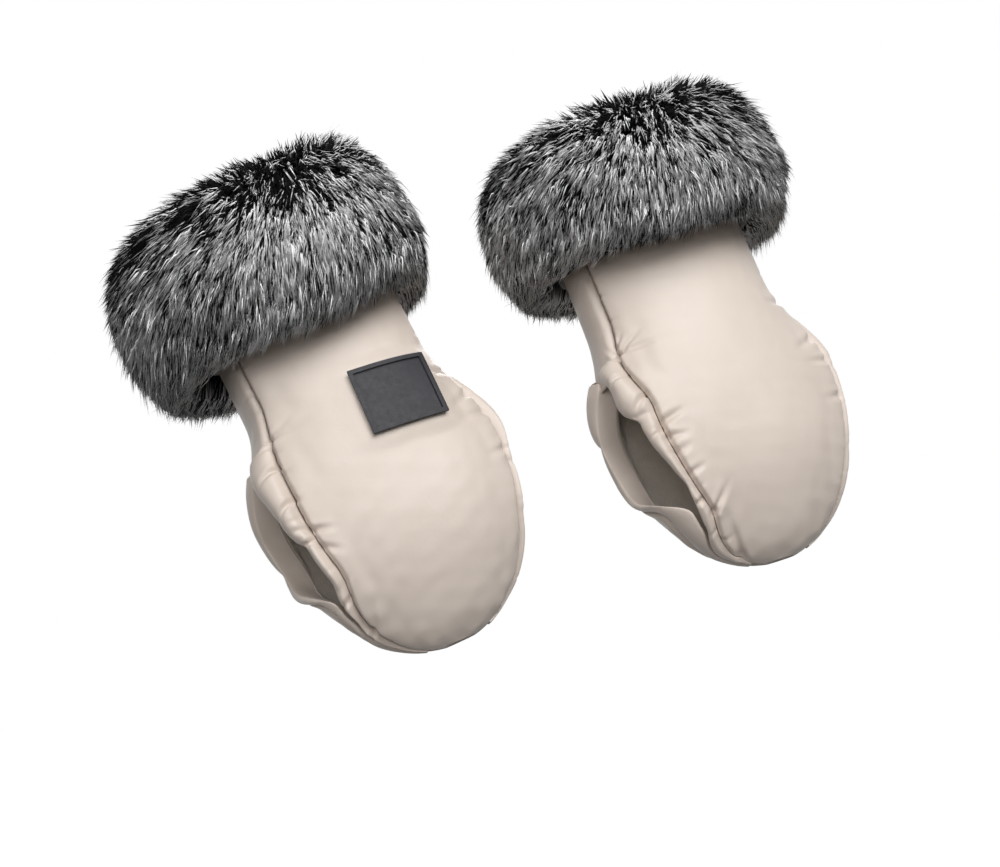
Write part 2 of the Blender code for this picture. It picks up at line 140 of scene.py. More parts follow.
# The nylon's meshes, and how the fabric swells
PANEL_COLUMNS = 46
PANEL_ROWS = 112
PANEL_BENDING = 1.2
PANEL_MIDDLE_SLACK = 0.04
PANEL_CROWN = 0.020
SEAM_ROUNDING = 0.0036
SEAM_FADE_DEPTHS = (0.010, 0.034)
SLACK_REACH = 0.026
TIP_FADE = 0.030
LIP_COLUMNS = 20
LIP_ROWS = 100
LIP_BENDING = 0.8
BAND_COLUMNS = 20
BAND_ROWS = 36
SWELL_FRAMES = 20
WRINKLE_SIZE = 0.012
WRINKLE_HEIGHT = 0.0006
WRINKLE_WAVES = 9
PANEL_SEED = 40
SOFTEN_PASSES = 3
SOFTEN_SHARE = 0.5
CLOTH_QUALITY = 7
CLOTH_MASS = 0.25
CLOTH_STRETCH_STIFFNESS = 18
CLOTH_SHEAR_STIFFNESS = 6

# The lips puff out between creases: heights of the creases as shares of the tip's drop, and the depths of
# the puffs between them
LIP_CREASE_SHARES = {-1: (-1.0, -0.36, 0.0, 0.80), 1: (-1.0, -0.34, 0.27, 0.80)}
LIP_PUFFS = {-1: (0.0016, 0.0034, 0.0058), 1: (0.0014, 0.0036, 0.0066)}
HIDDEN_LIP_PUFFS = (0.0015, 0.0030, 0.0034)
LIP_PUFF_POWERS = (0.8, 0.4)
CREASE_MARGIN = 1e-6
GUSSET_PUFF_SHARE = 0.4

# A gusset's lower edge is tucked under the lips
TUCK_DROP = 0.006
TUCK_DEPTH = 0.0024
TUCK_HEIGHTS = (-0.003, 0.003)

# How far each gusset puffs out: the muff's side of the pair, and the side of the muff
GUSSET_PUFFS = {(-1, -1): -0.0030, (1, -1): 0.0034, (-1, 1): 0.0, (1, 1): 0.001}

# Gathers that start at a front seam: muff, side, height as a share of the tip's drop, direction in degrees
# (0 to the front's middle, 90 up), reach, width and depth
GATHERS = (
    (1, -1, 0.78, 38, 0.030, 0.0026, 0.0016), (1, -1, 0.79, 8, 0.036, 0.0028, 0.0012),
    (1, -1, 0.80, 62, 0.020, 0.0022, 0.0010), (1, -1, 0.77, 160, 0.014, 0.0022, 0.0012),
    (1, -1, 0.80, 195, 0.012, 0.0020, 0.0010), (1, -1, 0.79, 128, 0.016, 0.0024, 0.0011),
    (1, -1, 0.16, 15, 0.022, 0.0036, 0.0019), (1, -1, 0.05, -8, 0.017, 0.0030, 0.0016),
    (1, -1, -0.08, 10, 0.014, 0.0026, 0.0015), (1, -1, -0.26, 12, 0.016, 0.0026, 0.0016),
    (1, -1, -0.58, 42, 0.030, 0.0030, 0.0018), (1, -1, -0.92, 70, 0.045, 0.0040, 0.0022),
    (-1, -1, 0.80, 8, 0.036, 0.0032, 0.0008), (-1, -1, 0.79, 30, 0.030, 0.0030, 0.0007),
    (-1, -1, 0.81, 185, 0.012, 0.0018, 0.0010), (-1, -1, 0.77, 192, 0.012, 0.0018, 0.0009),
    (-1, -1, 0.60, 205, 0.022, 0.0026, 0.0017), (-1, -1, 0.34, 215, 0.022, 0.0026, 0.0018),
    (-1, -1, 0.02, 200, 0.016, 0.0024, 0.0014), (-1, -1, -0.45, 200, 0.014, 0.0024, 0.0012),
    (1, -1, 0.62, 200, 0.022, 0.0026, 0.0018), (1, -1, 0.42, 225, 0.022, 0.0028, 0.0019),
    (1, -1, 0.12, 205, 0.014, 0.0024, 0.0014), (1, -1, -0.45, 205, 0.016, 0.0026, 0.0014),
    (-1, -1, 0.08, -20, 0.020, 0.0030, 0.0013), (-1, -1, -0.05, -35, 0.018, 0.0028, 0.0012),
    (-1, -1, 0.10, 170, 0.012, 0.0026, 0.0013), (-1, -1, -0.72, 40, 0.028, 0.0034, 0.0011),
    (-1, 1, 0.80, 10, 0.026, 0.0036, 0.0015), (-1, 1, 0.60, -15, 0.030, 0.0040, 0.0016),
    (-1, 1, 0.40, 5, 0.026, 0.0036, 0.0013), (-1, 1, 0.10, -10, 0.022, 0.0036, 0.0010),
    (1, 1, 0.86, 12, 0.026, 0.0036, 0.0014), (1, 1, 0.52, -12, 0.030, 0.0040, 0.0017),
    (1, 1, 0.30, 5, 0.026, 0.0034, 0.0014), (1, 1, 0.02, -8, 0.022, 0.0034, 0.0011),
)
SMALL_GATHERS = 22
SMALL_GATHER_SCALES = {-1: 1.0, 1: 0.4}
SMALL_GATHER_HEIGHT_SHARES = (-0.85, 1.5)
SMALL_GATHER_REACHES = (0.006, 0.013)
SMALL_GATHER_WIDTHS = (0.0015, 0.0026)
SMALL_GATHER_DEPTHS = (0.0003, 0.0008)
GATHER_DEPTH_SCALE = 1.5
GATHER_SIDEWAYS = 25
GATHER_HEIGHT_LIMIT = 0.030
GATHER_SEED = 15
GATHER_FADE_IN = 4
GATHER_HEAD = 0.6
GATHER_RIDGE = 1.3

# The floor: its size, how pale it is to the lamps and to the camera, and the glow that makes it white
FLOOR_SIZE = 30
FLOOR_BOUNCE = 0.06
FLOOR_SEEN = 0.9
FLOOR_ROUGHNESS = 0.9
FLOOR_GLOW = 1.37
FLOOR_GLOW_SHARE = 0.70

# Lamps: place, size, and the setting that holds the power
LAMPS = {
    "key_lamp": ((0.30, -1.45, 1.25), 1.6, "key_power"),
    "fill_lamp": ((-0.95, -1.70, 0.50), 1.2, "fill_power"),
    "back_lamp": ((0.70, 1.70, 1.10), 1.6, "back_power"),
}
SENSOR_WIDTH = 36.0

# Linings
LINING_COLUMNS = 30
LINING_ROWS = 44
LINING_SEAM_SHARE = 0.92
LINING_SIDE_SHARE = 0.12
LINING_NOTCH_REACH = 0.012
CUFF_LINING_FLARE = 0.022
CUFF_LINING_FLAT = (0.345, 0.084)

# The pile stands round the cuff band: its section as shares of pile depth and height. Each muff's pile has
# a mean depth, and stands out less towards +X and more towards -X.
CUFF_SECTION_SHARES = (
    (0.00, 0.06), (0.26, -0.02), (0.62, 0.00), (0.90, 0.14), (1.00, 0.36),
    (0.98, 0.60), (0.84, 0.82), (0.58, 0.97), (0.26, 1.04), (0.00, 1.00),
)
CUFF_BAND_STANDOFF = 0.0061
CUFF_BAND_THICKNESS = 0.0045
CUFF_BAND_OUTSIDE = 0.0055
CUFF_BAND_LOW_INSET = 0.018
CUFF_BAND_HIGH_INSET = 0.012
CUFF_LINING_INSET = 0.002
SLEEVE_COLUMNS = 96
SLEEVE_ROWS = 16
FELT_COLUMNS = 128
FELT_ROWS = 48
WELD_DISTANCE = 0.00002
PILES = {-1: (0.0365, 0.0075), 1: (0.040, 0.0)}
# How far the pile's top rises and its bottom is lifted: all round, and towards +X besides
TOP_RISES = {-1: (0.0, 0.007), 1: (-0.003, 0.005)}
BOTTOM_LIFTS = {-1: (0.001, 0.017), 1: (0.011, 0.006)}
# The section's depth and height at the strands' roots, on the felt and at the strands' ends
BACKING_SCALE = (0.42, 0.62)
FELT_SCALE = (0.46, 0.62)
WHOLE_SCALE = (1.0, 1.0)
PILE_STEP = 0.03
SECTION_MIDDLE = 0.5
TOP_RISE_SHARES = (0.4, 1.0)
BOTTOM_LIFT_SHARES = (0.5, 0.0)
RING_STEPS = 721
RING_HEIGHT = 0.18

# Strands: each is one small closed spike, with its widths as shares of the strand's own
STRAND_SIDES = 3
STRAND_SEED = 3
STRAND_SIDE_AXIS = (0.31, 0.17, 0.93)
ROOT_WIDTH_SHARE = 0.40
MIDDLE_WIDTH_SHARE = 0.50
MAP_TONE_STEP = 0.003
MAP_ROOT_STEP = 0.01
MAP_TIP = 0.995
PALE_TONES = (0.58, 0.99)
DARK_TONE = 0.22
TONE_LIMITS = (0.01, 0.99)
WIDTH_SPREAD = 0.2
WIDTH_LIMITS = (0.5, 1.6)
LEAD_SPREAD = 1.0
OWN_SPREAD = 0.6
FLOW_SPREAD = 0.13
LAY_SPREAD = 0.18
LAY_LIMITS = (0.4, 1.5)
REACH_SPREAD = 0.06
RISE_SPREAD = 0.25
TUFT_PULL_SPREAD = 0.4
TUFT_PULL_LEAST = 0.35
MIDDLE_PULL_SHARE = 0.4
PATCH_WAVES = 7
PATCH_WAVE_SPREADS = (2.5, 9.0)
PATCH_STRENGTH = 0.05
PARTING_STRENGTH = 0.46
BEND_SHARE = 0.6
ROOT_SINK = 0.001
HANG_LENGTH_SHARES = (0.85, 0.40)
HANG_LENGTH_REACH = 0.15
HANG_SHARE = 0.17
HANG_SPREAD = 0.035
TUFT_TONE_SHARE = 0.62
TUFT_TURN = 0.009
TUFT_SPREAD = 0.008
FLYAWAY_SHARE = 0.12
FLYAWAY_REACH = 0.38
FAN_OUTS = (0.12, 0.85)
FAN_SHARES = (0.38, 0.80)
PALE_REACH_SHARE = 1.02
DARK_REACH_SHARE = 0.95
PARTING_SHARES = (0.62, 0.88)

# The badge on the left muff
BADGE_COLUMNS = 18
BADGE_WIDTH = 0.050
BADGE_HEIGHT = 0.044
BADGE_THICKNESS = 0.0020
BADGE_BORDER_WIDTH = 0.0028
BADGE_BORDER_RISE = 0.0016
BADGE_X = 0.0240
BADGE_Z = 0.0635
BADGE_TURN = math.radians(-4)
BADGE_STANDOFF = 0.0003
BADGE_BEVEL = 0.0004
BADGE_BEVEL_STEPS = 3
BADGE_BEVEL_ANGLE = math.radians(40)
BADGE_SMOOTH_ANGLE = math.radians(35)
BADGE_HOLD_MARGIN = 0.0005
BADGE_HOLD_REACH = 0.012
BADGE_FABRIC_DEPTH = 0.0002

# Finishes. A ramp's stops are (noise, value), a bump's row is (noise scale, detail, strength, distance).
PATCH_STOPS = ((0.35, 0.0), (0.7, 1.0))
PATCH_SCALE = 14.0
NYLON_SHINE_STOPS = ((0.3, 0.36), (0.75, 0.44))
NYLON_SHINE_SCALE = 60.0
NYLON_BUMPS = ((70.0, 3.0, 0.16, 0.0012), (420.0, 2.0, 0.10, 0.0004))
WEAVE_BUMP = (0.25, 0.00012)
WAVE_SCALE = 0.314
FLEECE_SHADE = 0.82
BAND_COLOURS = ((0.10, 0.095, 0.09), (0.16, 0.15, 0.14))
FELT_COLOURS = ((0.008, 0.008, 0.009), (0.05, 0.05, 0.052))
STRAND_TONE_STOPS = ((0.10, 0.0), (0.32, 0.03), (0.50, 0.60), (0.66, 1.0))
STRAND_LENGTH_STOPS = ((0.22, 0.0), (0.42, 0.35), (0.56, 0.95), (0.9, 1.0))
RUBBER_WEAR = 1.5
RUBBER_SHINE_STOPS = ((0.3, 0.52), (0.7, 0.64))
STEEL_SHINE_STOPS = ((0.3, 0.26), (0.7, 0.42))


class MuffSizes(PropertyGroup):
    """The padded bodies' sizes and their place on the handlebar's line."""

    spacing: FloatProperty(
        name="Spacing", description="Between the muffs' axes", default=0.232, unit="LENGTH"
    )
    lean_back: FloatProperty(
        name="Lean back", description="Of both muffs", default=math.radians(13), subtype="ANGLE"
    )
    left_lean: FloatProperty(
        name="Left lean", description="Sideways", default=math.radians(10), subtype="ANGLE"
    )
    right_lean: FloatProperty(
        name="Right lean", description="Sideways", default=math.radians(3), subtype="ANGLE"
    )
    palm_width: FloatProperty(name="Palm width", description="Widest", default=0.168, unit="LENGTH")
    palm_depth: FloatProperty(name="Palm depth", description="Deepest", default=0.090, unit="LENGTH")
    wrist_width: FloatProperty(name="Wrist width", description="At the cuff", default=0.126, unit="LENGTH")
    wrist_depth: FloatProperty(name="Wrist depth", description="At the cuff", default=0.078, unit="LENGTH")
    tip_drop: FloatProperty(
        name="Tip drop", description="Handlebar's axis to the tip", default=0.088, unit="LENGTH"
    )
    shell_top: FloatProperty(
        name="Shell top", description="Handlebar's axis to the nylon's top", default=0.150, unit="LENGTH"
    )
    slit_top: FloatProperty(
        name="Slit top", description="Handlebar's axis to the notch", default=0.071, unit="LENGTH"
    )
    slit_half_gap: FloatProperty(
        name="Slit half gap", description="Where the handlebar passes", default=0.0195, unit="LENGTH"
    )
    slit_reach_above: FloatProperty(
        name="Slit reach above", description="Height where the lips meet", default=0.055, unit="LENGTH"
    )
    slit_reach_below: FloatProperty(
        name="Slit reach below", description="Drop where the lips meet", default=0.066, unit="LENGTH"
    )
    bend_height: FloatProperty(
        name="Bend height", description="Where the flap bends open", default=0.036, unit="LENGTH"
    )


class PaddingLook(PropertyGroup):
    """How the nylon swells over its wadding and gathers at its seams."""

    pressure: FloatProperty(name="Pressure", description="Of the wadding", default=4.0, min=0)
    panel_slack: FloatProperty(
        name="Panel slack", description="Spare fabric in the panels", default=0.045, subtype="FACTOR"
    )
    lip_slack: FloatProperty(
        name="Lip slack", description="Spare fabric in the lips", default=0.055, subtype="FACTOR"
    )
    start_inset: FloatProperty(
        name="Start inset", description="The panels' depth before they swell", default=0.0030, unit="LENGTH"
    )
    most_swell: FloatProperty(
        name="Most swell", description="Cap on how far a point moves", default=0.0075, unit="LENGTH"
    )
    seam_sink: FloatProperty(
        name="Seam sink", description="How deep the seams are drawn in", default=0.0038, unit="LENGTH"
    )


class FurLook(PropertyGroup):
    """The long pile of the cuffs."""

    cuff_bottom: FloatProperty(
        name="Cuff bottom", description="Handlebar's axis to the cuff", default=0.122, unit="LENGTH"
    )
    cuff_height: FloatProperty(name="Cuff height", description="Of the band", default=0.114, unit="LENGTH")
    strands: IntProperty(name="Strands", description="On each cuff", default=59000, min=4)
    tufts: IntProperty(name="Tufts", description="Groups of strands on each cuff", default=11000, min=4)
    pale_share: FloatProperty(
        name="Pale share", description="Of the strands that have pale ends", default=0.53, subtype="FACTOR"
    )
    lay_length: FloatProperty(
        name="Lay length", description="How far a strand lies over", default=0.033, unit="LENGTH"
    )
    strand_rise: FloatProperty(
        name="Strand rise", description="How far its middle stands up", default=0.0045, unit="LENGTH"
    )
    pale_width: FloatProperty(
        name="Pale width", description="Widest, of pale strands", default=0.00098, unit="LENGTH"
    )
    dark_width: FloatProperty(
        name="Dark width", description="Widest, of dark strands", default=0.00095, unit="LENGTH"
    )
    root_colour: FloatVectorProperty(
        name="Root colour", description="Near the backing", default=(0.003, 0.003, 0.0035), subtype="COLOR"
    )
    tip_colour: FloatVectorProperty(
        name="Tip colour", description="Of the palest strands", default=(1.0, 1.0, 1.0), subtype="COLOR"
    )


class FinishLook(PropertyGroup):
    """Colours of the nylon, the lining, the badge and the snaps."""

    nylon: FloatVectorProperty(
        name="Nylon", description="Main colour", default=(0.690, 0.600, 0.530), subtype="COLOR"
    )
    nylon_shade: FloatVectorProperty(
        name="Nylon shade",
        description="Its slow darker patches",
        default=(0.645, 0.555, 0.485),
        subtype="COLOR",
    )
    weave_pitch: FloatProperty(
        name="Weave pitch", description="Between two threads", default=0.0006, unit="LENGTH"
    )
    fleece: FloatVectorProperty(
        name="Fleece", description="The lining's colour", default=(0.600, 0.520, 0.440), subtype="COLOR"
    )
    rubber: FloatVectorProperty(
        name="Rubber", description="The badge's colour", default=(0.024, 0.024, 0.028), subtype="COLOR"
    )
    steel: FloatVectorProperty(
        name="Steel", description="The snaps' colour", default=(0.62, 0.61, 0.59), subtype="COLOR"
    )


class StageLook(PropertyGroup):
    """Camera, lamps and floor."""

    azimuth: FloatProperty(
        name="Azimuth", description="Camera", default=math.radians(-17.56), subtype="ANGLE"
    )
    elevation: FloatProperty(
        name="Elevation", description="Camera", default=math.radians(-3.44), subtype="ANGLE"
    )
    roll: FloatProperty(name="Roll", description="Camera", default=math.radians(-13.86), subtype="ANGLE")
    distance: FloatProperty(name="Distance", description="Camera", default=1.2509, unit="LENGTH")
    shift_right: FloatProperty(name="Move right", description="Camera", default=-0.0365, unit="LENGTH")
    shift_up: FloatProperty(name="Move up", description="Camera", default=0.0378, unit="LENGTH")
    lens: FloatProperty(name="Lens", description="Focal length", default=70.0, unit="CAMERA")
    key_power: FloatProperty(name="Key power", description="Main lamp", default=35.0, unit="POWER")
    fill_power: FloatProperty(name="Fill power", description="Second lamp", default=12.0, unit="POWER")
    back_power: FloatProperty(name="Back power", description="Lamp behind", default=26.0, unit="POWER")
    sky_strength: FloatProperty(name="Sky strength", description="Light from all round", default=0.10, min=0)
    floor_height: FloatProperty(
        name="Floor height", description="Below the handlebar's axis", default=-0.45, unit="LENGTH"
    )


def sizes():
    return bpy.context.scene.muff_sizes


def smooth_step(share):
    """0 up to share 0, 1 from share 1, and a soft S between."""
    share = np.clip(share, 0.0, 1.0)
    return share * share * (3 - 2 * share)


def between(low, high, share):
    return low + (high - low) * share


def share_of(height, reach):
    """How far a height has come from the first end of a reach to the second, not held to 0 and 1."""
    return (height - reach[0]) / (reach[1] - reach[0])


def half_width(height):
    """Widest a little above the handlebar, round below it and drawn in to a waist above it."""
    palm, wrist = sizes().palm_width / 2, sizes().wrist_width / 2
    drop = np.clip(share_of(height, (WIDTH_TAPER[0], -sizes().tip_drop)), 0.0, 1.0)
    above = between(palm, wrist, smooth_step(share_of(height, WIDTH_TAPER)))
    return np.where(height < WIDTH_TAPER[0], palm * np.sqrt(1 - drop**TIP_WIDTH_POWER), above)


def half_depth(height):
    palm, wrist = sizes().palm_depth / 2, sizes().wrist_depth / 2
    drop = np.clip(-height / sizes().tip_drop, 0.0, 1.0)
    inner_power, outer_power = TIP_DEPTH_POWERS
    above = between(palm, wrist, smooth_step(share_of(height, DEPTH_TAPER)))
    return np.where(height < 0, palm * (1 - drop**inner_power) ** outer_power, above)


def power_keeping_sign(value, power):
    return np.sign(value) * np.abs(value) ** power


def skin_point(angle, height):
    """Points of the outer surface. The angle runs from the middle of the front towards +X."""
    angle, height = np.broadcast_arrays(angle, height)
    across = half_width(height) * power_keeping_sign(np.sin(angle), SECTION_POWER)
    deep = half_depth(height) * power_keeping_sign(np.cos(angle), SECTION_POWER)
    return np.stack((across, -deep, height), axis=-1)


def unit(vectors):
    return vectors / np.maximum(np.linalg.norm(vectors, axis=-1, keepdims=True), TINY)


def skin_normal(angle, height):
    """The outward directions there, from two short steps on the surface."""
    low = np.maximum(height - NORMAL_STEP, -sizes().tip_drop + NORMAL_STEP / 2)
    round_step = skin_point(angle + NORMAL_STEP, height) - skin_point(angle - NORMAL_STEP, height)
    up_step = skin_point(angle, height + NORMAL_STEP) - skin_point(angle, low)
    return unit(np.cross(round_step, up_step))


def layer_point(angle, height, depth):
    """Points at a depth below the outer surface. A negative depth lies outside it."""
    return skin_point(angle, height) - skin_normal(angle, height) * np.asarray(depth)[..., None]


def angle_for(length, angle, height):
    """The angle that a short length takes up along the section."""
    step = skin_point(angle + NORMAL_STEP, height) - skin_point(angle - NORMAL_STEP, height)
    return 2 * NORMAL_STEP * length / np.linalg.norm(step, axis=-1)


def seam_fade(height):
    """Less drawing in where the muff gets thin towards its tip."""
    return smooth_step(share_of(half_depth(height), SEAM_FADE_DEPTHS))


def height_to_share(height):
    """Heights as shares that run evenly along the surface, closer together towards the round tip."""
    if height >= 0:
        return height / sizes().tip_drop
    return -math.asin(min(-height / sizes().tip_drop, 1.0)) * 2 / math.pi


def share_to_height(share):
    below = -sizes().tip_drop * np.sin(np.clip(-share, 0.0, 1.0) * math.pi / 2)
    return np.where(share >= 0, share * sizes().tip_drop, below)


def slit_half_gap(height):
    """Half the width of the side slit, widest where the handlebar passes."""
    reach = np.where(height > 0, sizes().slit_reach_above, sizes().slit_reach_below)
    share = np.minimum(np.abs(height) / reach, 1.0) ** SLIT_POWER
    open_share = np.cos(math.pi / 2 * share) ** 2
    return between(CLOSED_HALF_GAP, sizes().slit_half_gap, open_share)


def fold_angle(height):
    """Where the section comes as near to the side slit as a straight lip's folded edge."""
    share = np.minimum(slit_half_gap(height) / half_depth(height), 1.0)
    return np.arccos(share ** (1 / SECTION_POWER))


def curve_angle(table, height):
    """An angle from a table of height shares and degrees, with its corners softened."""
    shares, degrees = np.array(table).T
    place = height / sizes().tip_drop
    total = sum(np.interp(place + step, shares, degrees) for step in CURVE_BLEND_SHARES)
    return np.radians(total / len(CURVE_BLEND_SHARES))


def front_seam(height, hand, towards):
    """Angle of the front panel's seam on one side, from the front's middle."""
    upper, at_bar, at_tip = np.radians(SEAM_DEGREES[hand, towards])
    above = between(upper, at_bar, smooth_step(share_of(height, SEAM_NARROWS)))
    return between(above, at_tip, smooth_step(share_of(height, SEAM_WIDENS[hand])))


def back_seam(height, hand, towards):
    if towards < 0:
        return curve_angle(BACK_SEAM_SHARES[hand], height)
    return math.pi - front_seam(height, hand, towards)


def lip_fold(height, hand, towards, side):
    """Angle of a lip's folded edge, from the front's middle."""
    if towards > 0:
        return fold_angle(height) if side == FRONT else math.pi - fold_angle(height)
    table = FRONT_FOLD_SHARES if side == FRONT else BACK_FOLD_SHARES
    return curve_angle(table[hand], height)


def notch_height(share):
    """The notch's edge dips from the seams to the middle of the side."""
    return sizes().slit_top - NOTCH_DIP * np.sin(math.pi / 2 * np.clip(share, 0, 1))


def muff_matrix(hand):
    """From a muff's own frame to its place on the handlebar's line."""
    lean = sizes().left_lean if hand < 0 else sizes().right_lean
    turn = Matrix.Rotation(-lean, 4, "Y") @ Matrix.Rotation(-sizes().lean_back, 4, "X")
    return Matrix.Translation((hand * sizes().spacing / 2, 0, 0)) @ turn


def select_only(piece):
    bpy.ops.object.select_all(action="DESELECT")
    piece.select_set(True)
    bpy.context.view_layer.objects.active = piece


def add_grid(name, across, along):
    """A flat grid of squares one metre wide, for shaping."""
    bpy.ops.object.select_all(action="DESELECT")
    bpy.ops.mesh.primitive_grid_add(x_subdivisions=across, y_subdivisions=along, size=1)
    piece = bpy.context.object
    piece.name = name
    piece.data.name = name
    piece["columns"] = across
    return piece


def read_points(piece):
    points = np.empty(len(piece.data.vertices) * 3, np.float32)
    piece.data.vertices.foreach_get("co", points)
    return points.reshape(-1, 3).astype(float)


def write_points(piece, points):
    piece.data.vertices.foreach_set("co", np.asarray(points, np.float32).ravel())
    piece.data.update()


def grid_shares(piece):
    """Each point's share across and along a grid that isn't shaped yet."""
    points = read_points(piece)
    return points[:, 0] + 0.5, points[:, 1] + 0.5


def closer_at_edges(share):
    """Moves evenly spaced columns towards the two edges, where seams need more of them."""
    return share - EDGE_CROWDING * np.sin(2 * math.pi * share)


def on_edge(u, v):
    """Which points of a grid lie on its border."""
    return (u < NORMAL_STEP) | (u > 1 - NORMAL_STEP) | (v < NORMAL_STEP) | (v > 1 - NORMAL_STEP)


def set_cloth_map(piece, across, along):
    """A UV map in metres of cloth, so that the weave keeps its size."""
    layer = piece.data.uv_layers.active
    corner_points = np.empty(len(piece.data.loops), np.int32)
    piece.data.loops.foreach_get("vertex_index", corner_points)
    map_points = np.stack((across, along), axis=1)[corner_points]
    layer.data.foreach_set("uv", map_points.astype(np.float32).ravel())


def apply_modifier(piece, modifier):
    select_only(piece)
    bpy.ops.object.modifier_apply(modifier=modifier.name)


def refine(piece):
    modifier = piece.modifiers.new("finer", "SUBSURF")
    modifier.levels = 1
    modifier.render_levels = 1
    apply_modifier(piece, modifier)


def thicken(piece, thickness):
    """Turns the open surface into a closed wall that lies inside it."""
    modifier = piece.modifiers.new("thickness", "SOLIDIFY")
    modifier.thickness = thickness
    modifier.offset = -1
    apply_modifier(piece, modifier)


def add_weights(piece, name, weights):
    group = piece.vertex_groups.new(name=name)
    for index in np.flatnonzero(weights > 0):
        group.add([int(index)], float(weights[index]), "REPLACE")


def swell(piece, sewn, slack, slack_weights, bending):
    """Lets the fabric swell over its wadding, held where it is sewn, and caps how far it goes.

    The slack is the share of spare fabric, which the weights bring mostly to the seams.
    """
    look = bpy.context.scene.muff_padding
    start = read_points(piece)
    add_weights(piece, "sewn", sewn)
    add_weights(piece, "slack", slack_weights)
    cloth = piece.modifiers.new("wadding", "CLOTH")
    cloth.point_cache.frame_start = 1
    cloth.point_cache.frame_end = SWELL_FRAMES
    cloth.settings.quality = CLOTH_QUALITY
    cloth.settings.mass = CLOTH_MASS
    cloth.settings.tension_stiffness = CLOTH_STRETCH_STIFFNESS
    cloth.settings.compression_stiffness = CLOTH_STRETCH_STIFFNESS
    cloth.settings.shear_stiffness = CLOTH_SHEAR_STIFFNESS
    cloth.settings.bending_stiffness = bending
    cloth.settings.use_pressure = True
    cloth.settings.uniform_pressure_force = look.pressure
    cloth.settings.vertex_group_shrink = "slack"
    cloth.settings.shrink_min = 0
    cloth.settings.shrink_max = -slack
    cloth.settings.vertex_group_mass = "sewn"
    cloth.settings.effector_weights.gravity = 0
    cloth.collision_settings.use_collision = False
    for number in range(1, SWELL_FRAMES + 1):
        bpy.context.scene.frame_set(number)
    apply_modifier(piece, cloth)
    move = soften(read_points(piece) - start, row_points(piece))
    length = np.linalg.norm(move, axis=1, keepdims=True)
    capped = look.most_swell * np.tanh(length / look.most_swell)
    write_points(piece, start + move / np.maximum(length, TINY) * capped)


def row_points(piece):
    """Points in one row of a grid, which are stored row after row."""
    return piece["columns"] + 1


def soften(move, row_length):
    """Evens out wrinkles as fine as the grid, and leaves its edges."""
    grid = move.reshape(-1, row_length, 3)
    for _ in range(SOFTEN_PASSES):
        inner = grid[1:-1, 1:-1]
        sides = grid[:-2, 1:-1] + grid[2:, 1:-1] + grid[1:-1, :-2] + grid[1:-1, 2:]
        grid[1:-1, 1:-1] = inner * (1 - SOFTEN_SHARE) + sides * (SOFTEN_SHARE / 4)
    return grid.reshape(-1, 3)


def seed_wrinkles(points, normals, seed):
    """Small soft bumps, so that the fabric doesn't swell alike on both sides."""
    numbers = np.random.default_rng(seed)
    waves = numbers.normal(size=(WRINKLE_WAVES, 3))
    phases = numbers.random(WRINKLE_WAVES) * 2 * math.pi
    total = np.sin(points @ (unit(waves).T * 2 * math.pi / WRINKLE_SIZE) + phases).mean(axis=1)
    return points + normals * (total * WRINKLE_HEIGHT)[:, None]


def seam_gathers(hand, towards):
    """The chosen and the small gathers that start at one front seam."""
    chosen = [row[2:] for row in GATHERS if row[:2] == (hand, towards)]
    small_scale = SMALL_GATHER_SCALES[towards]
    numbers = np.random.default_rng(GATHER_SEED + hand + 2 * towards)
    for number in range(SMALL_GATHERS):
        low, high = SMALL_GATHER_HEIGHT_SHARES
        height = between(low, high, (number + numbers.random()) / SMALL_GATHERS)
        turn = 180 * (number % 2) + GATHER_SIDEWAYS * (2 * numbers.random() - 1)
        sizes_of_one = [
            between(*limits, numbers.random())
            for limits in (SMALL_GATHER_REACHES, SMALL_GATHER_WIDTHS, SMALL_GATHER_DEPTHS)
        ]
        sizes_of_one[-1] *= small_scale
        chosen.append((height, turn, *sizes_of_one))
    return chosen


def gather(piece, hand):
    """Presses small valleys with raised sides into the fabric, from the seams outwards."""
    points = read_points(piece)
    for towards in (-1, 1):
        for share, turn, reach, width, depth in seam_gathers(hand, towards):
            height = np.float64(share * sizes().tip_drop)
            angle = towards * front_seam(height, hand, towards)
            start = skin_point(angle, height)
            normal = skin_normal(angle, height)
            inwards = -towards * unit(np.cross((0.0, 0.0, 1.0), normal))
            upwards = np.cross(normal, inwards) * -towards
            line = inwards * math.cos(math.radians(turn)) + upwards * math.sin(math.radians(turn))
            away = points - start
            along = away @ line / reach
            across = away @ np.cross(normal, line) / width
            near = np.abs(away @ normal) < GATHER_HEIGHT_LIMIT
            fade = smooth_step(along * GATHER_FADE_IN + GATHER_HEAD) * (1 - smooth_step(along)) * near
            valley = (1 - GATHER_RIDGE * across**2) * np.exp(-(across**2))
            points -= normal * (depth * GATHER_DEPTH_SCALE * valley * fade)[:, None]
    write_points(piece, points)


def place_in_row(piece, hand):
    piece.data.transform(muff_matrix(hand))
    piece.data.update()


def dress(piece, material):
    piece.data.materials.clear()
    piece.data.materials.append(material)
    select_only(piece)
    bpy.ops.object.shade_smooth()


def bend_with_flap(piece):
    """Bakes the piece's transform into its points, and leaves its shape as it is."""
    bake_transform(piece)


def panel_angles(height, hand, side):
    """Angles of a panel's two seams, both measured the same way round the muff."""
    if side == FRONT:
        return -front_seam(height, hand, -1), front_seam(height, hand, 1)
    return back_seam(height, hand, 1), 2 * math.pi - back_seam(height, hand, -1)


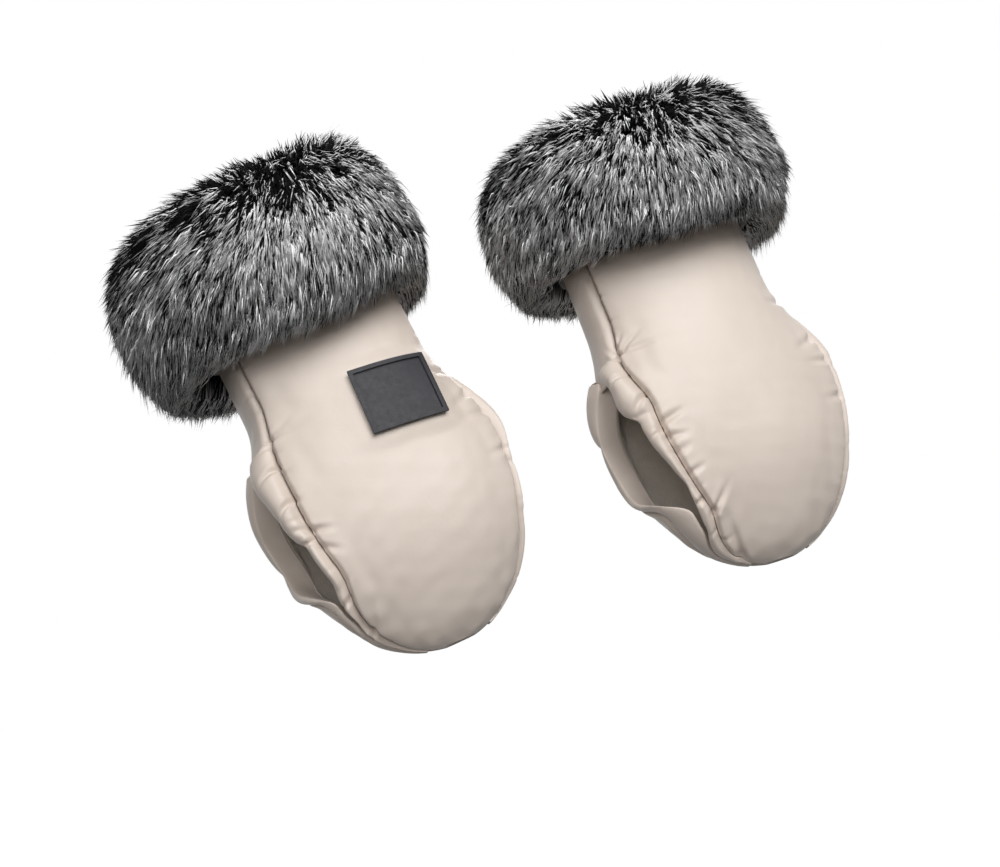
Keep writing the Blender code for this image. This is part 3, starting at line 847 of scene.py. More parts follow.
def make_panel(name, hand, side):
    """One panel's padded fabric, seam to seam and from the tip to the cuff."""
    look = bpy.context.scene.muff_padding
    piece = add_grid(name, PANEL_COLUMNS, PANEL_ROWS)
    u, v = grid_shares(piece)
    edge = on_edge(u, v)
    low, high = (height_to_share(-sizes().tip_drop + TIP_MARGIN), height_to_share(sizes().shell_top))
    height = share_to_height(between(low, high, v))
    first, last = panel_angles(height, hand, side)
    angle = between(first, last, closer_at_edges(u))
    from_first, to_last = skin_distance(first, angle, height), skin_distance(angle, last, height)
    seam_distance = np.minimum(from_first, to_last)
    sink = look.seam_sink * seam_fade(height) * (1 - smooth_step(seam_distance / SEAM_ROUNDING))
    inset = look.start_inset * seam_fade(height) * smooth_step(seam_distance / PANEL_CROWN)
    normals = skin_normal(angle, height)
    points = layer_point(angle, height, sink + inset)
    points = np.where(edge[:, None], points, seed_wrinkles(points, normals, PANEL_SEED + 11 * hand + side))
    write_points(piece, points)
    set_cloth_map(piece, from_first, height)
    near_seam = 1 - smooth_step(seam_distance / SLACK_REACH)
    slack = between(PANEL_MIDDLE_SLACK, 1, near_seam) * tip_fade(height)
    swell(piece, edge.astype(float), look.panel_slack, slack, PANEL_BENDING)
    return piece


def tip_fade(height):
    """No spare fabric at the tip itself, where the pieces run to a point."""
    return smooth_step((height + sizes().tip_drop) / TIP_FADE)


def skin_distance(start_angle, end_angle, height, steps=12):
    """Length along the section between two angles."""
    total = 0
    last = skin_point(start_angle, height)
    for step in range(1, steps + 1):
        here = skin_point(between(start_angle, end_angle, step / steps), height)
        total = total + np.linalg.norm(here - last, axis=-1)
        last = here
    return total


def press_under_badge(piece):
    """The sewn-on badge holds the fabric down to the part's own surface."""
    points = read_points(piece)
    across, up = badge_place_of(points[:, 0], points[:, 2])
    out_x = np.maximum(np.abs(across) - BADGE_WIDTH / 2, 0)
    out_z = np.maximum(np.abs(up) - BADGE_HEIGHT / 2, 0)
    held = 1 - smooth_step((np.hypot(out_x, out_z) - BADGE_HOLD_MARGIN) / BADGE_HOLD_REACH)
    target = front_point(points[:, 0], points[:, 2], -BADGE_FABRIC_DEPTH)
    points[:, 1] = between(points[:, 1], target[:, 1], held)
    write_points(piece, points)


def badge_place_of(x, height):
    """Places on the front as seen from the badge's middle, across and up."""
    right, up = x - BADGE_X, height - BADGE_Z
    across = right * math.cos(BADGE_TURN) + up * math.sin(BADGE_TURN)
    return across, up * math.cos(BADGE_TURN) - right * math.sin(BADGE_TURN)


def front_point(x, height, stand_off):
    """Points that stand off the front of the muff at a place across it."""
    share = np.minimum(np.abs(x) / half_width(height), 1.0)
    angle = np.sign(x) * np.arcsin(share ** (1 / SECTION_POWER))
    return layer_point(angle, height, -np.asarray(stand_off))


def finish_nylon(piece, hand, thickness):
    """Finer, gathered at the seams, closed and put in its place on the handlebar's line."""
    refine(piece)
    gather(piece, hand)
    thicken(piece, thickness)
    place_in_row(piece, hand)
    dress(piece, nylon_material())


def make_front_panels():
    for name, hand in MUFFS:
        piece = make_panel(name + "_front_panel", hand, FRONT)
        if hand < 0:
            press_under_badge(piece)
        finish_nylon(piece, hand, WADDING_THICKNESS)
        bend_with_flap(piece)
        parts = ("front_wrist_shell", "front_flap_shell", "front_wrist_wadding", "front_flap_wadding")
        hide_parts(*[f"{name}_{part}" for part in parts])


def make_back_panels():
    for name, hand in MUFFS:
        piece = make_panel(name + "_back_panel", hand, BACK)
        finish_nylon(piece, hand, WADDING_THICKNESS)
        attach(piece, name + "_muff")
        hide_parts(name + "_back_shell", name + "_back_wadding")


def lip_puff(height, hand, towards):
    """How far a lip puffs out at its middle. Each puff ends in a crease."""
    creases = np.array(LIP_CREASE_SHARES[hand])
    puffs = np.array(LIP_PUFFS[hand] if towards < 0 else HIDDEN_LIP_PUFFS)
    place = np.clip(height / sizes().tip_drop, creases[0] + CREASE_MARGIN, creases[-1] - CREASE_MARGIN)
    number = np.searchsorted(creases, place) - 1
    along = (place - creases[number]) / (creases[number + 1] - creases[number])
    return puffs[number] * np.sin(math.pi * along) ** LIP_PUFF_POWERS[1]


def flange_end(height, fold_x, side):
    """Where a lip's flange ends inside the muff, beside the slit's middle plane."""
    depth = np.minimum(FLANGE_WIDTH, fold_x * FLANGE_WIDTH_SHARE)
    return np.stack((fold_x - depth, side * slit_half_gap(height), height), axis=-1)


def make_lip(name, hand, side, towards):
    """A gathered facing along one slit, from the panel's seam round the fold to the flange's edge."""
    look = bpy.context.scene.muff_padding
    piece = add_grid(name, LIP_COLUMNS, LIP_ROWS)
    u, v = grid_shares(piece)
    if towards * side > 0:
        u = 1 - u
    edge = on_edge(u, v)
    folded = np.minimum(u * 2, 1.0)
    low = height_to_share(-sizes().tip_drop + LIP_TIP_MARGIN)
    high = notch_height(folded) / sizes().tip_drop
    height = share_to_height(between(low, high, v))
    seam = front_seam(height, hand, towards) if side == FRONT else back_seam(height, hand, towards)
    seam = seam - side * angle_for(SEWN_GAP, seam, height)
    fold = lip_fold(height, hand, towards, side)
    fold = np.maximum(fold, seam) if side == FRONT else np.minimum(fold, seam)
    width = np.abs(skin_distance(seam, fold, height))
    puff = lip_puff(height, hand, towards) * np.sin(math.pi * folded) ** LIP_PUFF_POWERS[0]
    near_seam = (1 - smooth_step(folded * width / SEAM_ROUNDING)) * (u < 0.5)
    sink = look.seam_sink * seam_fade(height) * near_seam
    outer = layer_point(between(seam, fold, folded), height, sink - puff)
    inner = flange_end(height, skin_point(fold, height)[:, 0], side)
    turned = np.maximum(u * 2 - 1, 0.0)
    points = between(outer, inner, turned[:, None]) * (towards, 1, 1)
    write_points(piece, points)
    set_cloth_map(piece, folded * width + turned * FLANGE_WIDTH, height)
    swell(piece, edge.astype(float), look.lip_slack, tip_fade(height), LIP_BENDING)
    keep_slit_open(piece, points[:, 1], turned > 0, side)
    return piece


def keep_slit_open(piece, flat_y, on_flange, side):
    """A lip's flange swells away from the slit and not into it."""
    points = read_points(piece)
    held = flat_y * side - FLANGE_SLACK
    points[:, 1] = np.where(on_flange, np.maximum(points[:, 1] * side, held) * side, points[:, 1])
    write_points(piece, points)


def make_lips():
    for name, hand in MUFFS:
        for edge, towards in (("outer", hand), ("inner", -hand)):
            for side, label in ((FRONT, "front"), (BACK, "back")):
                piece = make_lip(f"{name}_{edge}_{label}_lip_gathers", hand, side, towards)
                finish_nylon(piece, hand, LIP_THICKNESS)
                finish_lip(piece, name, edge, side)


def finish_lip(piece, name, edge, side):
    if side == FRONT:
        bend_with_flap(piece)
        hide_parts(f"{name}_{edge}_front_lip", f"{name}_{edge}_front_lip_top")
    else:
        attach(piece, name + "_muff")
        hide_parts(f"{name}_{edge}_back_lip")


def make_side_band(name, hand, towards):
    """The gusset between the front and back seams, from the notch up under the cuff."""
    look = bpy.context.scene.muff_padding
    piece = add_grid(name, BAND_COLUMNS, BAND_ROWS)
    u, v = grid_shares(piece)
    edge = on_edge(u, v)
    notch = notch_height(1 - np.abs(1 - 2 * u))
    height = between(notch - TUCK_DROP, sizes().shell_top, v)
    first, last = front_seam(height, hand, towards), back_seam(height, hand, towards)
    first = first + angle_for(SEWN_GAP, first, height)
    last = last - angle_for(SEWN_GAP, last, height)
    width = skin_distance(first, last, height)
    share = u if towards > 0 else 1 - u
    seam_distance = np.minimum(share, 1 - share) * width
    sink = look.seam_sink * (1 - smooth_step(seam_distance / SEAM_ROUNDING))
    puff = GUSSET_PUFFS[hand, towards] * np.sin(math.pi * share) * smooth_step(v / GUSSET_PUFF_SHARE)
    tuck = TUCK_DEPTH * (1 - smooth_step(share_of(height - notch, TUCK_HEIGHTS)))
    points = layer_point(between(first, last, share), height, sink - puff + tuck) * (towards, 1, 1)
    write_points(piece, points)
    set_cloth_map(piece, u * width, height)
    swell(piece, edge.astype(float), look.lip_slack, np.ones(len(u)), LIP_BENDING)
    return piece


def make_side_bands():
    for name, hand in MUFFS:
        for edge_name, towards in (("outer", hand), ("inner", -hand)):
            piece = make_side_band(f"{name}_{edge_name}_gusset", hand, towards)
            finish_nylon(piece, hand, SIDE_BAND_THICKNESS)
            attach(piece, name + "_muff")
            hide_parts(f"{name}_{edge_name}_side_band")


def lining_side_point(height, hand, towards, side):
    """Where a lining meets the lip's flange below the notch, and the other lining above it."""
    fold_x = skin_point(lip_fold(height, hand, towards, side), height)[:, 0]
    at_flange = flange_end(height, fold_x, side)
    at_middle = layer_point(np.full(len(height), math.pi / 2), height, np.full(len(height), LINING_DEPTH))
    above = smooth_step((height - sizes().slit_top + LINING_NOTCH_REACH) / LINING_NOTCH_REACH)
    point = between(at_flange, at_middle, above[:, None])
    point[:, 1] += side * LINING_THICKNESS
    return point * (towards, 1, 1)


def make_lining(name, hand, side):
    """The fleece behind one panel, whose edges turn to the flanges of the lips."""
    piece = add_grid(name, LINING_COLUMNS, LINING_ROWS)
    u, v = grid_shares(piece)
    low, high = (
        height_to_share(-sizes().tip_drop + LINING_TIP_MARGIN), height_to_share(sizes().shell_top)
    )
    height = share_to_height(between(low, high, v))
    first, last = panel_angles(height, hand, side)
    middle = 0 if side == FRONT else math.pi
    first, last = (between(middle, each, LINING_SEAM_SHARE) for each in (first, last))
    inner_share = np.clip((u - LINING_SIDE_SHARE) / (1 - 2 * LINING_SIDE_SHARE), 0, 1)
    angle = between(first, last, inner_share)
    points = layer_point(angle, height, np.full(len(height), LINING_DEPTH))
    for towards, out in ((side, LINING_SIDE_SHARE - u), (-side, u - 1 + LINING_SIDE_SHARE)):
        share = np.clip(out / LINING_SIDE_SHARE, 0, 1)[:, None]
        points = between(points, lining_side_point(height, hand, towards, side), share)
    set_cloth_map(piece, skin_distance(first, angle, height), height)
    write_points(piece, points)
    refine(piece)
    thicken(piece, LINING_THICKNESS)
    return piece


def make_linings():
    for name, hand in MUFFS:
        for side, label in ((FRONT, "front"), (BACK, "back")):
            piece = make_lining(f"{name}_{label}_fleece", hand, side)
            place_in_row(piece, hand)
            dress(piece, fleece_material())
            if side == FRONT:
                bend_with_flap(piece)
                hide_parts(f"{name}_front_wrist_lining", f"{name}_front_flap_lining")
            else:
                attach(piece, name + "_muff")
                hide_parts(f"{name}_back_lining")


def weld_seam(piece):
    """Joins the two ends of a grid that runs round the muff, and leaves it selected in edit mode."""
    select_only(piece)
    bpy.ops.object.mode_set(mode="EDIT")
    bpy.ops.mesh.select_all(action="SELECT")
    bpy.ops.mesh.remove_doubles(threshold=WELD_DISTANCE)


def sleeve_grid(name, low, high, depth_at):
    """A tube round the wrist. depth_at gives its depth below the surface at each height."""
    piece = add_grid(name, SLEEVE_COLUMNS, SLEEVE_ROWS)
    u, v = grid_shares(piece)
    height = between(low, high, v)
    angle = 2 * math.pi * u
    set_cloth_map(piece, u * CUFF_LINING_FLAT[0], height)
    write_points(piece, layer_point(angle, height, depth_at(height)))
    weld_seam(piece)
    bpy.ops.object.mode_set(mode="OBJECT")
    return piece


def cuff_lining_depth(height):
    """It starts at the body lining's depth and flares out to the cuff band."""
    return LINING_DEPTH * (1 - smooth_step((height - sizes().shell_top) / CUFF_LINING_FLARE))


def cuff_band_depth(height):
    return np.full(len(height), -CUFF_BAND_OUTSIDE)


def make_cuff_linings():
    fur = bpy.context.scene.muff_fur
    top = fur.cuff_bottom + fur.cuff_height - CUFF_LINING_INSET
    for name, hand in MUFFS:
        piece = sleeve_grid(
            name + "_cuff_fleece", sizes().shell_top + LINING_THICKNESS, top, cuff_lining_depth
        )
        thicken(piece, LINING_THICKNESS)
        place_in_row(piece, hand)
        dress(piece, fleece_material())
        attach(piece, name + "_muff")
        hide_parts(name + "_cuff_lining")


def make_cuff_bands():
    fur = bpy.context.scene.muff_fur
    low = fur.cuff_bottom + CUFF_BAND_LOW_INSET
    high = fur.cuff_bottom + fur.cuff_height - CUFF_BAND_HIGH_INSET
    for name, hand in MUFFS:
        piece = sleeve_grid(name + "_foam_band", low, high, cuff_band_depth)
        thicken(piece, CUFF_BAND_THICKNESS)
        place_in_row(piece, hand)
        dress(piece, band_material())
        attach(piece, name + "_muff")
        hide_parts(name + "_cuff_band")


def section_point(share, scale):
    """The cuff's section, evenly along its length and shrunk to its middle height.

    Gives how far out it is as a share of the pile's depth, and its height.
    """
    fur = bpy.context.scene.muff_fur
    table = np.array(CUFF_SECTION_SHARES)
    steps = np.diff(table, axis=0) * (PILES[1][0], fur.cuff_height)
    lengths = np.linalg.norm(steps, axis=1)
    places = np.concatenate(([0], np.cumsum(lengths))) / lengths.sum()
    out_scale, height_scale = scale
    out = np.interp(share, places, table[:, 0]) * out_scale
    high = between(SECTION_MIDDLE, np.interp(share, places, table[:, 1]), height_scale)
    return out, fur.cuff_bottom + high * fur.cuff_height


def pile_point(angle, share, scale, hand):
    out_share, height = section_point(share, scale)
    fur = bpy.context.scene.muff_fur
    mean_depth, lopsided = PILES[hand]
    depth = mean_depth - lopsided * np.sin(angle)
    up_share = (height - fur.cuff_bottom) / fur.cuff_height
    mean_rise, tilt = TOP_RISES[hand]
    rise = mean_rise + tilt * np.sin(angle)
    height = height + rise * smooth_step(share_of(up_share, TOP_RISE_SHARES))
    mean_lift, right_lift = BOTTOM_LIFTS[hand]
    lift = mean_lift + right_lift * np.maximum(np.sin(angle), 0)
    height = height + lift * smooth_step(share_of(up_share, BOTTOM_LIFT_SHARES))
    return layer_point(angle, height, -(CUFF_BAND_STANDOFF + out_share * depth))


def pile_steps(angle, share, hand):
    """How a point of the ring moves for each radian round it, and for its section's whole length."""
    low, high = np.maximum(share - PILE_STEP, 0), np.minimum(share + PILE_STEP, 1)
    later = pile_point(angle + PILE_STEP, share, WHOLE_SCALE, hand)
    earlier = pile_point(angle - PILE_STEP, share, WHOLE_SCALE, hand)
    up_step = pile_point(angle, high, WHOLE_SCALE, hand) - pile_point(angle, low, WHOLE_SCALE, hand)
    return (later - earlier) / (2 * PILE_STEP), up_step / (high - low)[:, None]


def make_fur_backings():
    """The dark felt of short hair that the strands stand on."""
    for name, hand in MUFFS:
        piece = add_grid(name + "_fur_backing", FELT_COLUMNS, FELT_ROWS)
        u, v = grid_shares(piece)
        write_points(piece, pile_point(2 * math.pi * u, v, FELT_SCALE, hand))
        weld_seam(piece)
        bpy.ops.mesh.select_all(action="DESELECT")
        bpy.ops.mesh.select_non_manifold()
        bpy.ops.mesh.bridge_edge_loops()
        bpy.ops.mesh.select_all(action="SELECT")
        bpy.ops.mesh.normals_make_consistent(inside=False)
        bpy.ops.object.mode_set(mode="OBJECT")
        place_in_row(piece, hand)
        dress(piece, fur_backing_material())
        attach(piece, name + "_muff")
        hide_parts(name + "_fur_cuff")


def even_angles(count, numbers):
    """Angles spread evenly along the section's length round the muff."""
    angles = np.linspace(0, 2 * math.pi, RING_STEPS)
    ring = skin_point(angles, np.float64(RING_HEIGHT))
    length = np.concatenate(([0], np.cumsum(np.linalg.norm(np.diff(ring, axis=0), axis=1))))
    return np.interp(numbers.random(count) * length[-1], length, angles)


def strand_lines(hand, seed):
    """Root, middle and tip of every strand, its tone, its width and its angle round the muff."""
    fur = bpy.context.scene.muff_fur
    numbers = np.random.default_rng(seed)
    tuft_angle = even_angles(fur.tufts, numbers)
    tuft_share = numbers.random(fur.tufts)
    tuft = numbers.integers(0, fur.tufts, fur.strands)
    angle = tuft_angle[tuft] + numbers.normal(size=fur.strands) * TUFT_TURN
    share = np.clip(tuft_share[tuft] + numbers.normal(size=fur.strands) * TUFT_SPREAD, 0, 1)
    pale_chance = fur.pale_share * zone_paleness(angle, share, numbers)
    tuft_luck = numbers.random(fur.tufts)[tuft]
    pale = between(numbers.random(fur.strands), tuft_luck, TUFT_TONE_SHARE) < pale_chance
    pale_tone = between(*PALE_TONES, numbers.random(fur.strands))
    tone = np.where(pale, pale_tone, DARK_TONE * numbers.random(fur.strands))
    width = np.where(pale, fur.pale_width, fur.dark_width)
    width = width * numbers.normal(1.0, WIDTH_SPREAD, fur.strands).clip(*WIDTH_LIMITS)
    flyaway = numbers.random(fur.strands) < FLYAWAY_SHARE
    extra = FLYAWAY_REACH * flyaway * numbers.random(fur.strands)
    reach = np.where(pale, PALE_REACH_SHARE, DARK_REACH_SHARE) + extra
    lead = strand_curve(tuft_angle, tuft_share, np.ones(fur.tufts), hand, numbers, LEAD_SPREAD)
    own = strand_curve(angle, share, reach, hand, numbers, OWN_SPREAD)
    pull = (numbers.random(fur.strands) * TUFT_PULL_SPREAD + TUFT_PULL_LEAST)[:, None]
    middle = between(own[1], lead[1][tuft], pull * MIDDLE_PULL_SHARE)
    tip = between(own[2], lead[2][tuft], pull)
    return own[0], middle, tip, np.clip(tone, *TONE_LIMITS), width, angle


def zone_paleness(angle, share, numbers):
    """Slow patches of darker and paler fur round the cuff, and dark at the parting by the mouth."""
    waves = numbers.normal(size=(PATCH_WAVES, 2)) * PATCH_WAVE_SPREADS
    phases = numbers.random(PATCH_WAVES) * 2 * math.pi
    patches = sum(
        np.sin(angle * round(wave[0]) + share * wave[1] + phase) for wave, phase in zip(waves, phases)
    )
    parting = smooth_step(share_of(share, PARTING_SHARES))
    return (1 + patches * PATCH_STRENGTH) * (1 - PARTING_STRENGTH * parting)


def flow_direction():
    """The way that the pile is combed: down as the photograph shows it."""
    return -np.array(camera_axes()[1])


def in_row(vectors, hand, moved=True):
    turn = np.array(muff_matrix(hand))
    return vectors @ turn[:3, :3].T + turn[:3, 3] * moved


def strand_curve(angle, share, reach, hand, numbers, spread):
    """Strands that rise from the backing and bend over along the cuff's own plump outline.

    Those that reach its lower edge hang free from there.
    """
    fur = bpy.context.scene.muff_fur
    round_step, up_step = pile_steps(angle, share, hand)
    level_out = unit(skin_point(angle, np.full(len(angle), fur.cuff_bottom)) * (1, 1, 0))
    radial = in_row(level_out, hand, False)
    round_row, up_row = in_row(round_step, hand, False), in_row(up_step, hand, False)
    fan = between(*FAN_OUTS, smooth_step(share_of(share, FAN_SHARES)))[:, None]
    flow = unit(flow_direction() + radial * fan)
    flow = flow + numbers.normal(size=(len(angle), 3)) * FLOW_SPREAD * spread
    lay = fur.lay_length * numbers.normal(1.0, LAY_SPREAD * spread, len(angle)).clip(*LAY_LIMITS)
    turned = (flow * round_row).sum(axis=1) / (round_row**2).sum(axis=1) * lay
    climbed = (flow * up_row).sum(axis=1) / (up_row**2).sum(axis=1) * lay
    aim = share + climbed
    lowest = HANG_SHARE + numbers.normal(size=len(angle)) * HANG_SPREAD
    landed = np.clip(np.maximum(aim, np.minimum(share, lowest)), 0, 1)
    hanging = (landed - aim) * np.linalg.norm(up_step, axis=1) * (landed <= lowest)
    root = pile_point(angle, share, BACKING_SCALE, hand)
    ends = pile_point(angle + turned, landed, WHOLE_SCALE, hand)
    reach = reach * (1 + numbers.normal(size=len(angle)) * REACH_SPREAD * spread)
    ends = root + (ends - root) * reach[:, None]
    normal = unit(np.cross(round_step, up_step))
    middle = between(root, ends, BEND_SHARE)
    rise = fur.strand_rise * numbers.normal(1.0, RISE_SPREAD, len(angle))
    middle = middle + normal * rise[:, None]
    root, middle, ends = (in_row(each, hand) for each in (root - normal * ROOT_SINK, middle, ends))
    hang_share = between(*HANG_LENGTH_SHARES, np.clip(share / HANG_LENGTH_REACH, 0, 1))
    return root, middle, ends + flow * (hanging * hang_share)[:, None]


def strand_mesh(name, root, middle, tip, tone, width):
    """Closed spikes with three sides. The map's u is a strand's tone, and v runs from root to tip."""
    count = len(root)
    lower = unit(middle - root)
    upper = unit(tip - middle)
    side = unit(np.cross(lower, STRAND_SIDE_AXIS))
    other = np.cross(lower, side)
    points = np.empty((count, 2 * STRAND_SIDES + 1, 3), np.float32)
    maps = np.empty((count, 2 * STRAND_SIDES + 1, 2), np.float32)
    for corner in range(STRAND_SIDES):
        turn = 2 * math.pi * corner / STRAND_SIDES
        out = side * math.cos(turn) + other * math.sin(turn)
        points[:, corner] = root + out * (width * ROOT_WIDTH_SHARE)[:, None]
        points[:, STRAND_SIDES + corner] = middle + out * (width * MIDDLE_WIDTH_SHARE)[:, None]
        maps[:, corner, 0] = tone + MAP_TONE_STEP * (corner - 1)
        maps[:, corner, 1] = MAP_ROOT_STEP * (corner == 1)
        maps[:, STRAND_SIDES + corner, 0] = tone + MAP_TONE_STEP * (corner - 1)
        maps[:, STRAND_SIDES + corner, 1] = BEND_SHARE
    points[:, 2 * STRAND_SIDES] = tip
    maps[:, 2 * STRAND_SIDES, 0] = tone
    maps[:, 2 * STRAND_SIDES, 1] = MAP_TIP
    corners, starts = strand_faces(count)
    mesh = bpy.data.meshes.new(name)
    mesh.vertices.add(points.shape[0] * points.shape[1])
    mesh.vertices.foreach_set("co", points.ravel())
    mesh.loops.add(len(corners))
    mesh.loops.foreach_set("vertex_index", corners)
    mesh.polygons.add(len(starts))
    mesh.polygons.foreach_set("loop_start", starts)
    mesh.update(calc_edges=True)
    layer = mesh.uv_layers.new(name="OFBake")
    layer.data.foreach_set("uv", maps.reshape(-1, 2)[corners].ravel())
    return mesh


def strand_faces(count):
    """Corner indices and face starts of count strands, seven faces each."""
    faces = ((0, 1, 4, 3), (1, 2, 5, 4), (2, 0, 3, 5), (3, 4, 6), (4, 5, 6), (5, 3, 6), (2, 1, 0))
    flat = np.array([corner for face in faces for corner in face], np.int32)
    firsts = np.cumsum([0] + [len(face) for face in faces[:-1]]).astype(np.int32)
    corners = (np.arange(count, dtype=np.int32)[:, None] * (2 * STRAND_SIDES + 1) + flat).ravel()
    starts = (np.arange(count, dtype=np.int32)[:, None] * len(flat) + firsts).ravel()
    return corners, starts


def make_fur():
    for name, hand in MUFFS:
        root, middle, tip, tone, width, angle = strand_lines(hand, STRAND_SEED + hand)
        quarter = np.floor((angle + math.pi / 4) / (math.pi / 2)).astype(int) % 4
        for number, sector in enumerate(("front", "right", "back", "left")):
            chosen = quarter == number
            label = f"{name}_fur_{sector}"
            mesh = strand_mesh(
                label, root[chosen], middle[chosen], tip[chosen], tone[chosen], width[chosen]
            )
            piece = bpy.data.objects.new(label, mesh)
            bpy.context.collection.objects.link(piece)
            dress(piece, fur_material())
            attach(piece, name + "_muff")


def make_badge():
    """The rubber badge: a plate with a raised, softly bevelled border, bent over the left front panel."""
    piece = add_grid("left_rubber_badge", BADGE_COLUMNS, BADGE_COLUMNS)
    points = read_points(piece)
    for axis, size in ((0, BADGE_WIDTH), (1, BADGE_HEIGHT)):
        inner = size / 2 - BADGE_BORDER_WIDTH
        column = np.abs(points[:, axis]) / (0.5 - 1 / BADGE_COLUMNS)
        outwards = np.where(column > 1 + NORMAL_STEP, size / 2, column * inner)
        points[:, axis] = np.sign(points[:, axis]) * outwards
    write_points(piece, points)
    select_only(piece)
    bpy.ops.object.mode_set(mode="EDIT")
    bpy.ops.mesh.select_all(action="DESELECT")
    bpy.ops.object.mode_set(mode="OBJECT")
    for polygon in piece.data.polygons:
        right, up = polygon.center.x, polygon.center.y
        on_side = abs(right) > BADGE_WIDTH / 2 - BADGE_BORDER_WIDTH
        polygon.select = on_side or abs(up) > BADGE_HEIGHT / 2 - BADGE_BORDER_WIDTH
    bpy.ops.object.mode_set(mode="EDIT")
    bpy.ops.mesh.extrude_region_move(TRANSFORM_OT_translate={"value": (0, 0, BADGE_BORDER_RISE)})
    bpy.ops.object.mode_set(mode="OBJECT")
    thicken(piece, BADGE_THICKNESS)
    bevel = piece.modifiers.new("soft edge", "BEVEL")
    bevel.width = BADGE_BEVEL
    bevel.segments = BADGE_BEVEL_STEPS
    bevel.limit_method = "ANGLE"
    bevel.angle_limit = BADGE_BEVEL_ANGLE
    apply_modifier(piece, bevel)
    flat = read_points(piece)
    x = BADGE_X + flat[:, 0] * math.cos(BADGE_TURN) - flat[:, 1] * math.sin(BADGE_TURN)
    height = BADGE_Z + flat[:, 0] * math.sin(BADGE_TURN) + flat[:, 1] * math.cos(BADGE_TURN)
    write_points(piece, front_point(x, height, BADGE_STANDOFF + BADGE_THICKNESS + flat[:, 2]))
    place_in_row(piece, -1)
    dress(piece, rubber_material())
    select_only(piece)
    bpy.ops.object.shade_smooth_by_angle(angle=BADGE_SMOOTH_ANGLE)
    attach(piece, "left_muff")
    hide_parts("left_badge_plate", "left_badge_border")


def finish_snaps():
    for label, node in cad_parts.items():
        if "_snap_" in label:
            node.data.materials.clear()
            node.data.materials.append(steel_material())


def named_material(name, build):
    """The material of that name, made once by build(tree, shader)."""
    material = bpy.data.materials.get(name)
    if material is None:
        material = bpy.data.materials.new(name)
        material.use_nodes = True
        build(material.node_tree, material.node_tree.nodes["Principled BSDF"])
    return material


def add_node(tree, kind, values=None, **settings):
    """A shader node with its settings, and its inputs' constant values by name."""
    node = tree.nodes.new("ShaderNode" + kind)
    for setting, value in settings.items():
        setattr(node, setting, value)
    for label, value in (values or {}).items():
        node.inputs[label].default_value = value
    return node


def mix_colours(tree, first, second, factor):
    """Socket of two colours mixed by a factor's socket. A colour may be a constant."""
    mix = add_node(tree, "Mix", data_type="RGBA")
    for label, value in (("A", first), ("B", second)):
        socket = [each for each in mix.inputs if each.name == label and each.type == "RGBA"][0]
        if isinstance(value, bpy.types.NodeSocket):
            tree.links.new(value, socket)
        else:
            socket.default_value = (*value, 1.0)
    tree.links.new(factor, mix.inputs["Factor"])
    return [each for each in mix.outputs if each.type == "RGBA"][0]


def noise(tree, place, scale, detail=4.0, roughness=0.55):
    node = add_node(tree, "TexNoise", {"Scale": scale, "Detail": detail, "Roughness": roughness})
    tree.links.new(place, node.inputs["Vector"])
    return node.outputs["Fac"]


def ramp(tree, factor, stops):
    """A colour ramp's output, from (place, grey level) stops."""
    node = add_node(tree, "ValToRGB")
    elements = node.color_ramp.elements
    while len(elements) < len(stops):
        elements.new(0.5)
    for element, (place, level) in zip(elements, stops):
        element.position = place
        element.color = (level, level, level, 1)
    tree.links.new(factor, node.inputs["Fac"])
    return node.outputs["Color"]


def add_bump(tree, shader, heights):
    """Chains bumps of (height socket, strength, distance in metres) into the shader's normal."""
    last = None
    for height, strength, distance in heights:
        bump = add_node(tree, "Bump", {"Strength": strength, "Distance": distance})
        tree.links.new(height, bump.inputs["Height"])
        if last:
            tree.links.new(last, bump.inputs["Normal"])
        last = bump.outputs["Normal"]
    tree.links.new(last, shader.inputs["Normal"])


def object_place(tree):
    return add_node(tree, "TexCoord").outputs["Object"]


def weave(tree, pitch):
    """Height of a plain weave of that pitch on the cloth's own map."""
    cloth = add_node(tree, "UVMap", uv_map="UVMap").outputs["UV"]
    heights = []
    for direction in ("X", "Y"):
        settings = {"Scale": WAVE_SCALE / pitch, "Distortion": 0.0}
        threads = add_node(tree, "TexWave", settings, bands_direction=direction)
        tree.links.new(cloth, threads.inputs["Vector"])
        heights.append(threads.outputs["Fac"])
    product = add_node(tree, "Math", operation="MULTIPLY")
    tree.links.new(heights[0], product.inputs[0])
    tree.links.new(heights[1], product.inputs[1])
    return product.outputs[0]


def nylon_material():
    return named_material("satin_nylon", build_nylon)


def build_nylon(tree, shader):
    look = bpy.context.scene.muff_finish
    place = object_place(tree)
    patches = ramp(tree, noise(tree, place, PATCH_SCALE), PATCH_STOPS)
    colour = mix_colours(tree, tuple(look.nylon), tuple(look.nylon_shade), patches)
    tree.links.new(colour, shader.inputs["Base Color"])
    shine = ramp(tree, noise(tree, place, NYLON_SHINE_SCALE), NYLON_SHINE_STOPS)
    tree.links.new(shine, shader.inputs["Roughness"])
    shader.inputs["Specular IOR Level"].default_value = 0.42
    shader.inputs["Sheen Weight"].default_value = 0.12
    shader.inputs["Sheen Roughness"].default_value = 0.45
    bumps = [(noise(tree, place, *row[:2]), *row[2:]) for row in NYLON_BUMPS]
    add_bump(tree, shader, (*bumps, (weave(tree, look.weave_pitch), *WEAVE_BUMP)))


def fleece_material():
    return named_material("brushed_fleece", build_fleece)


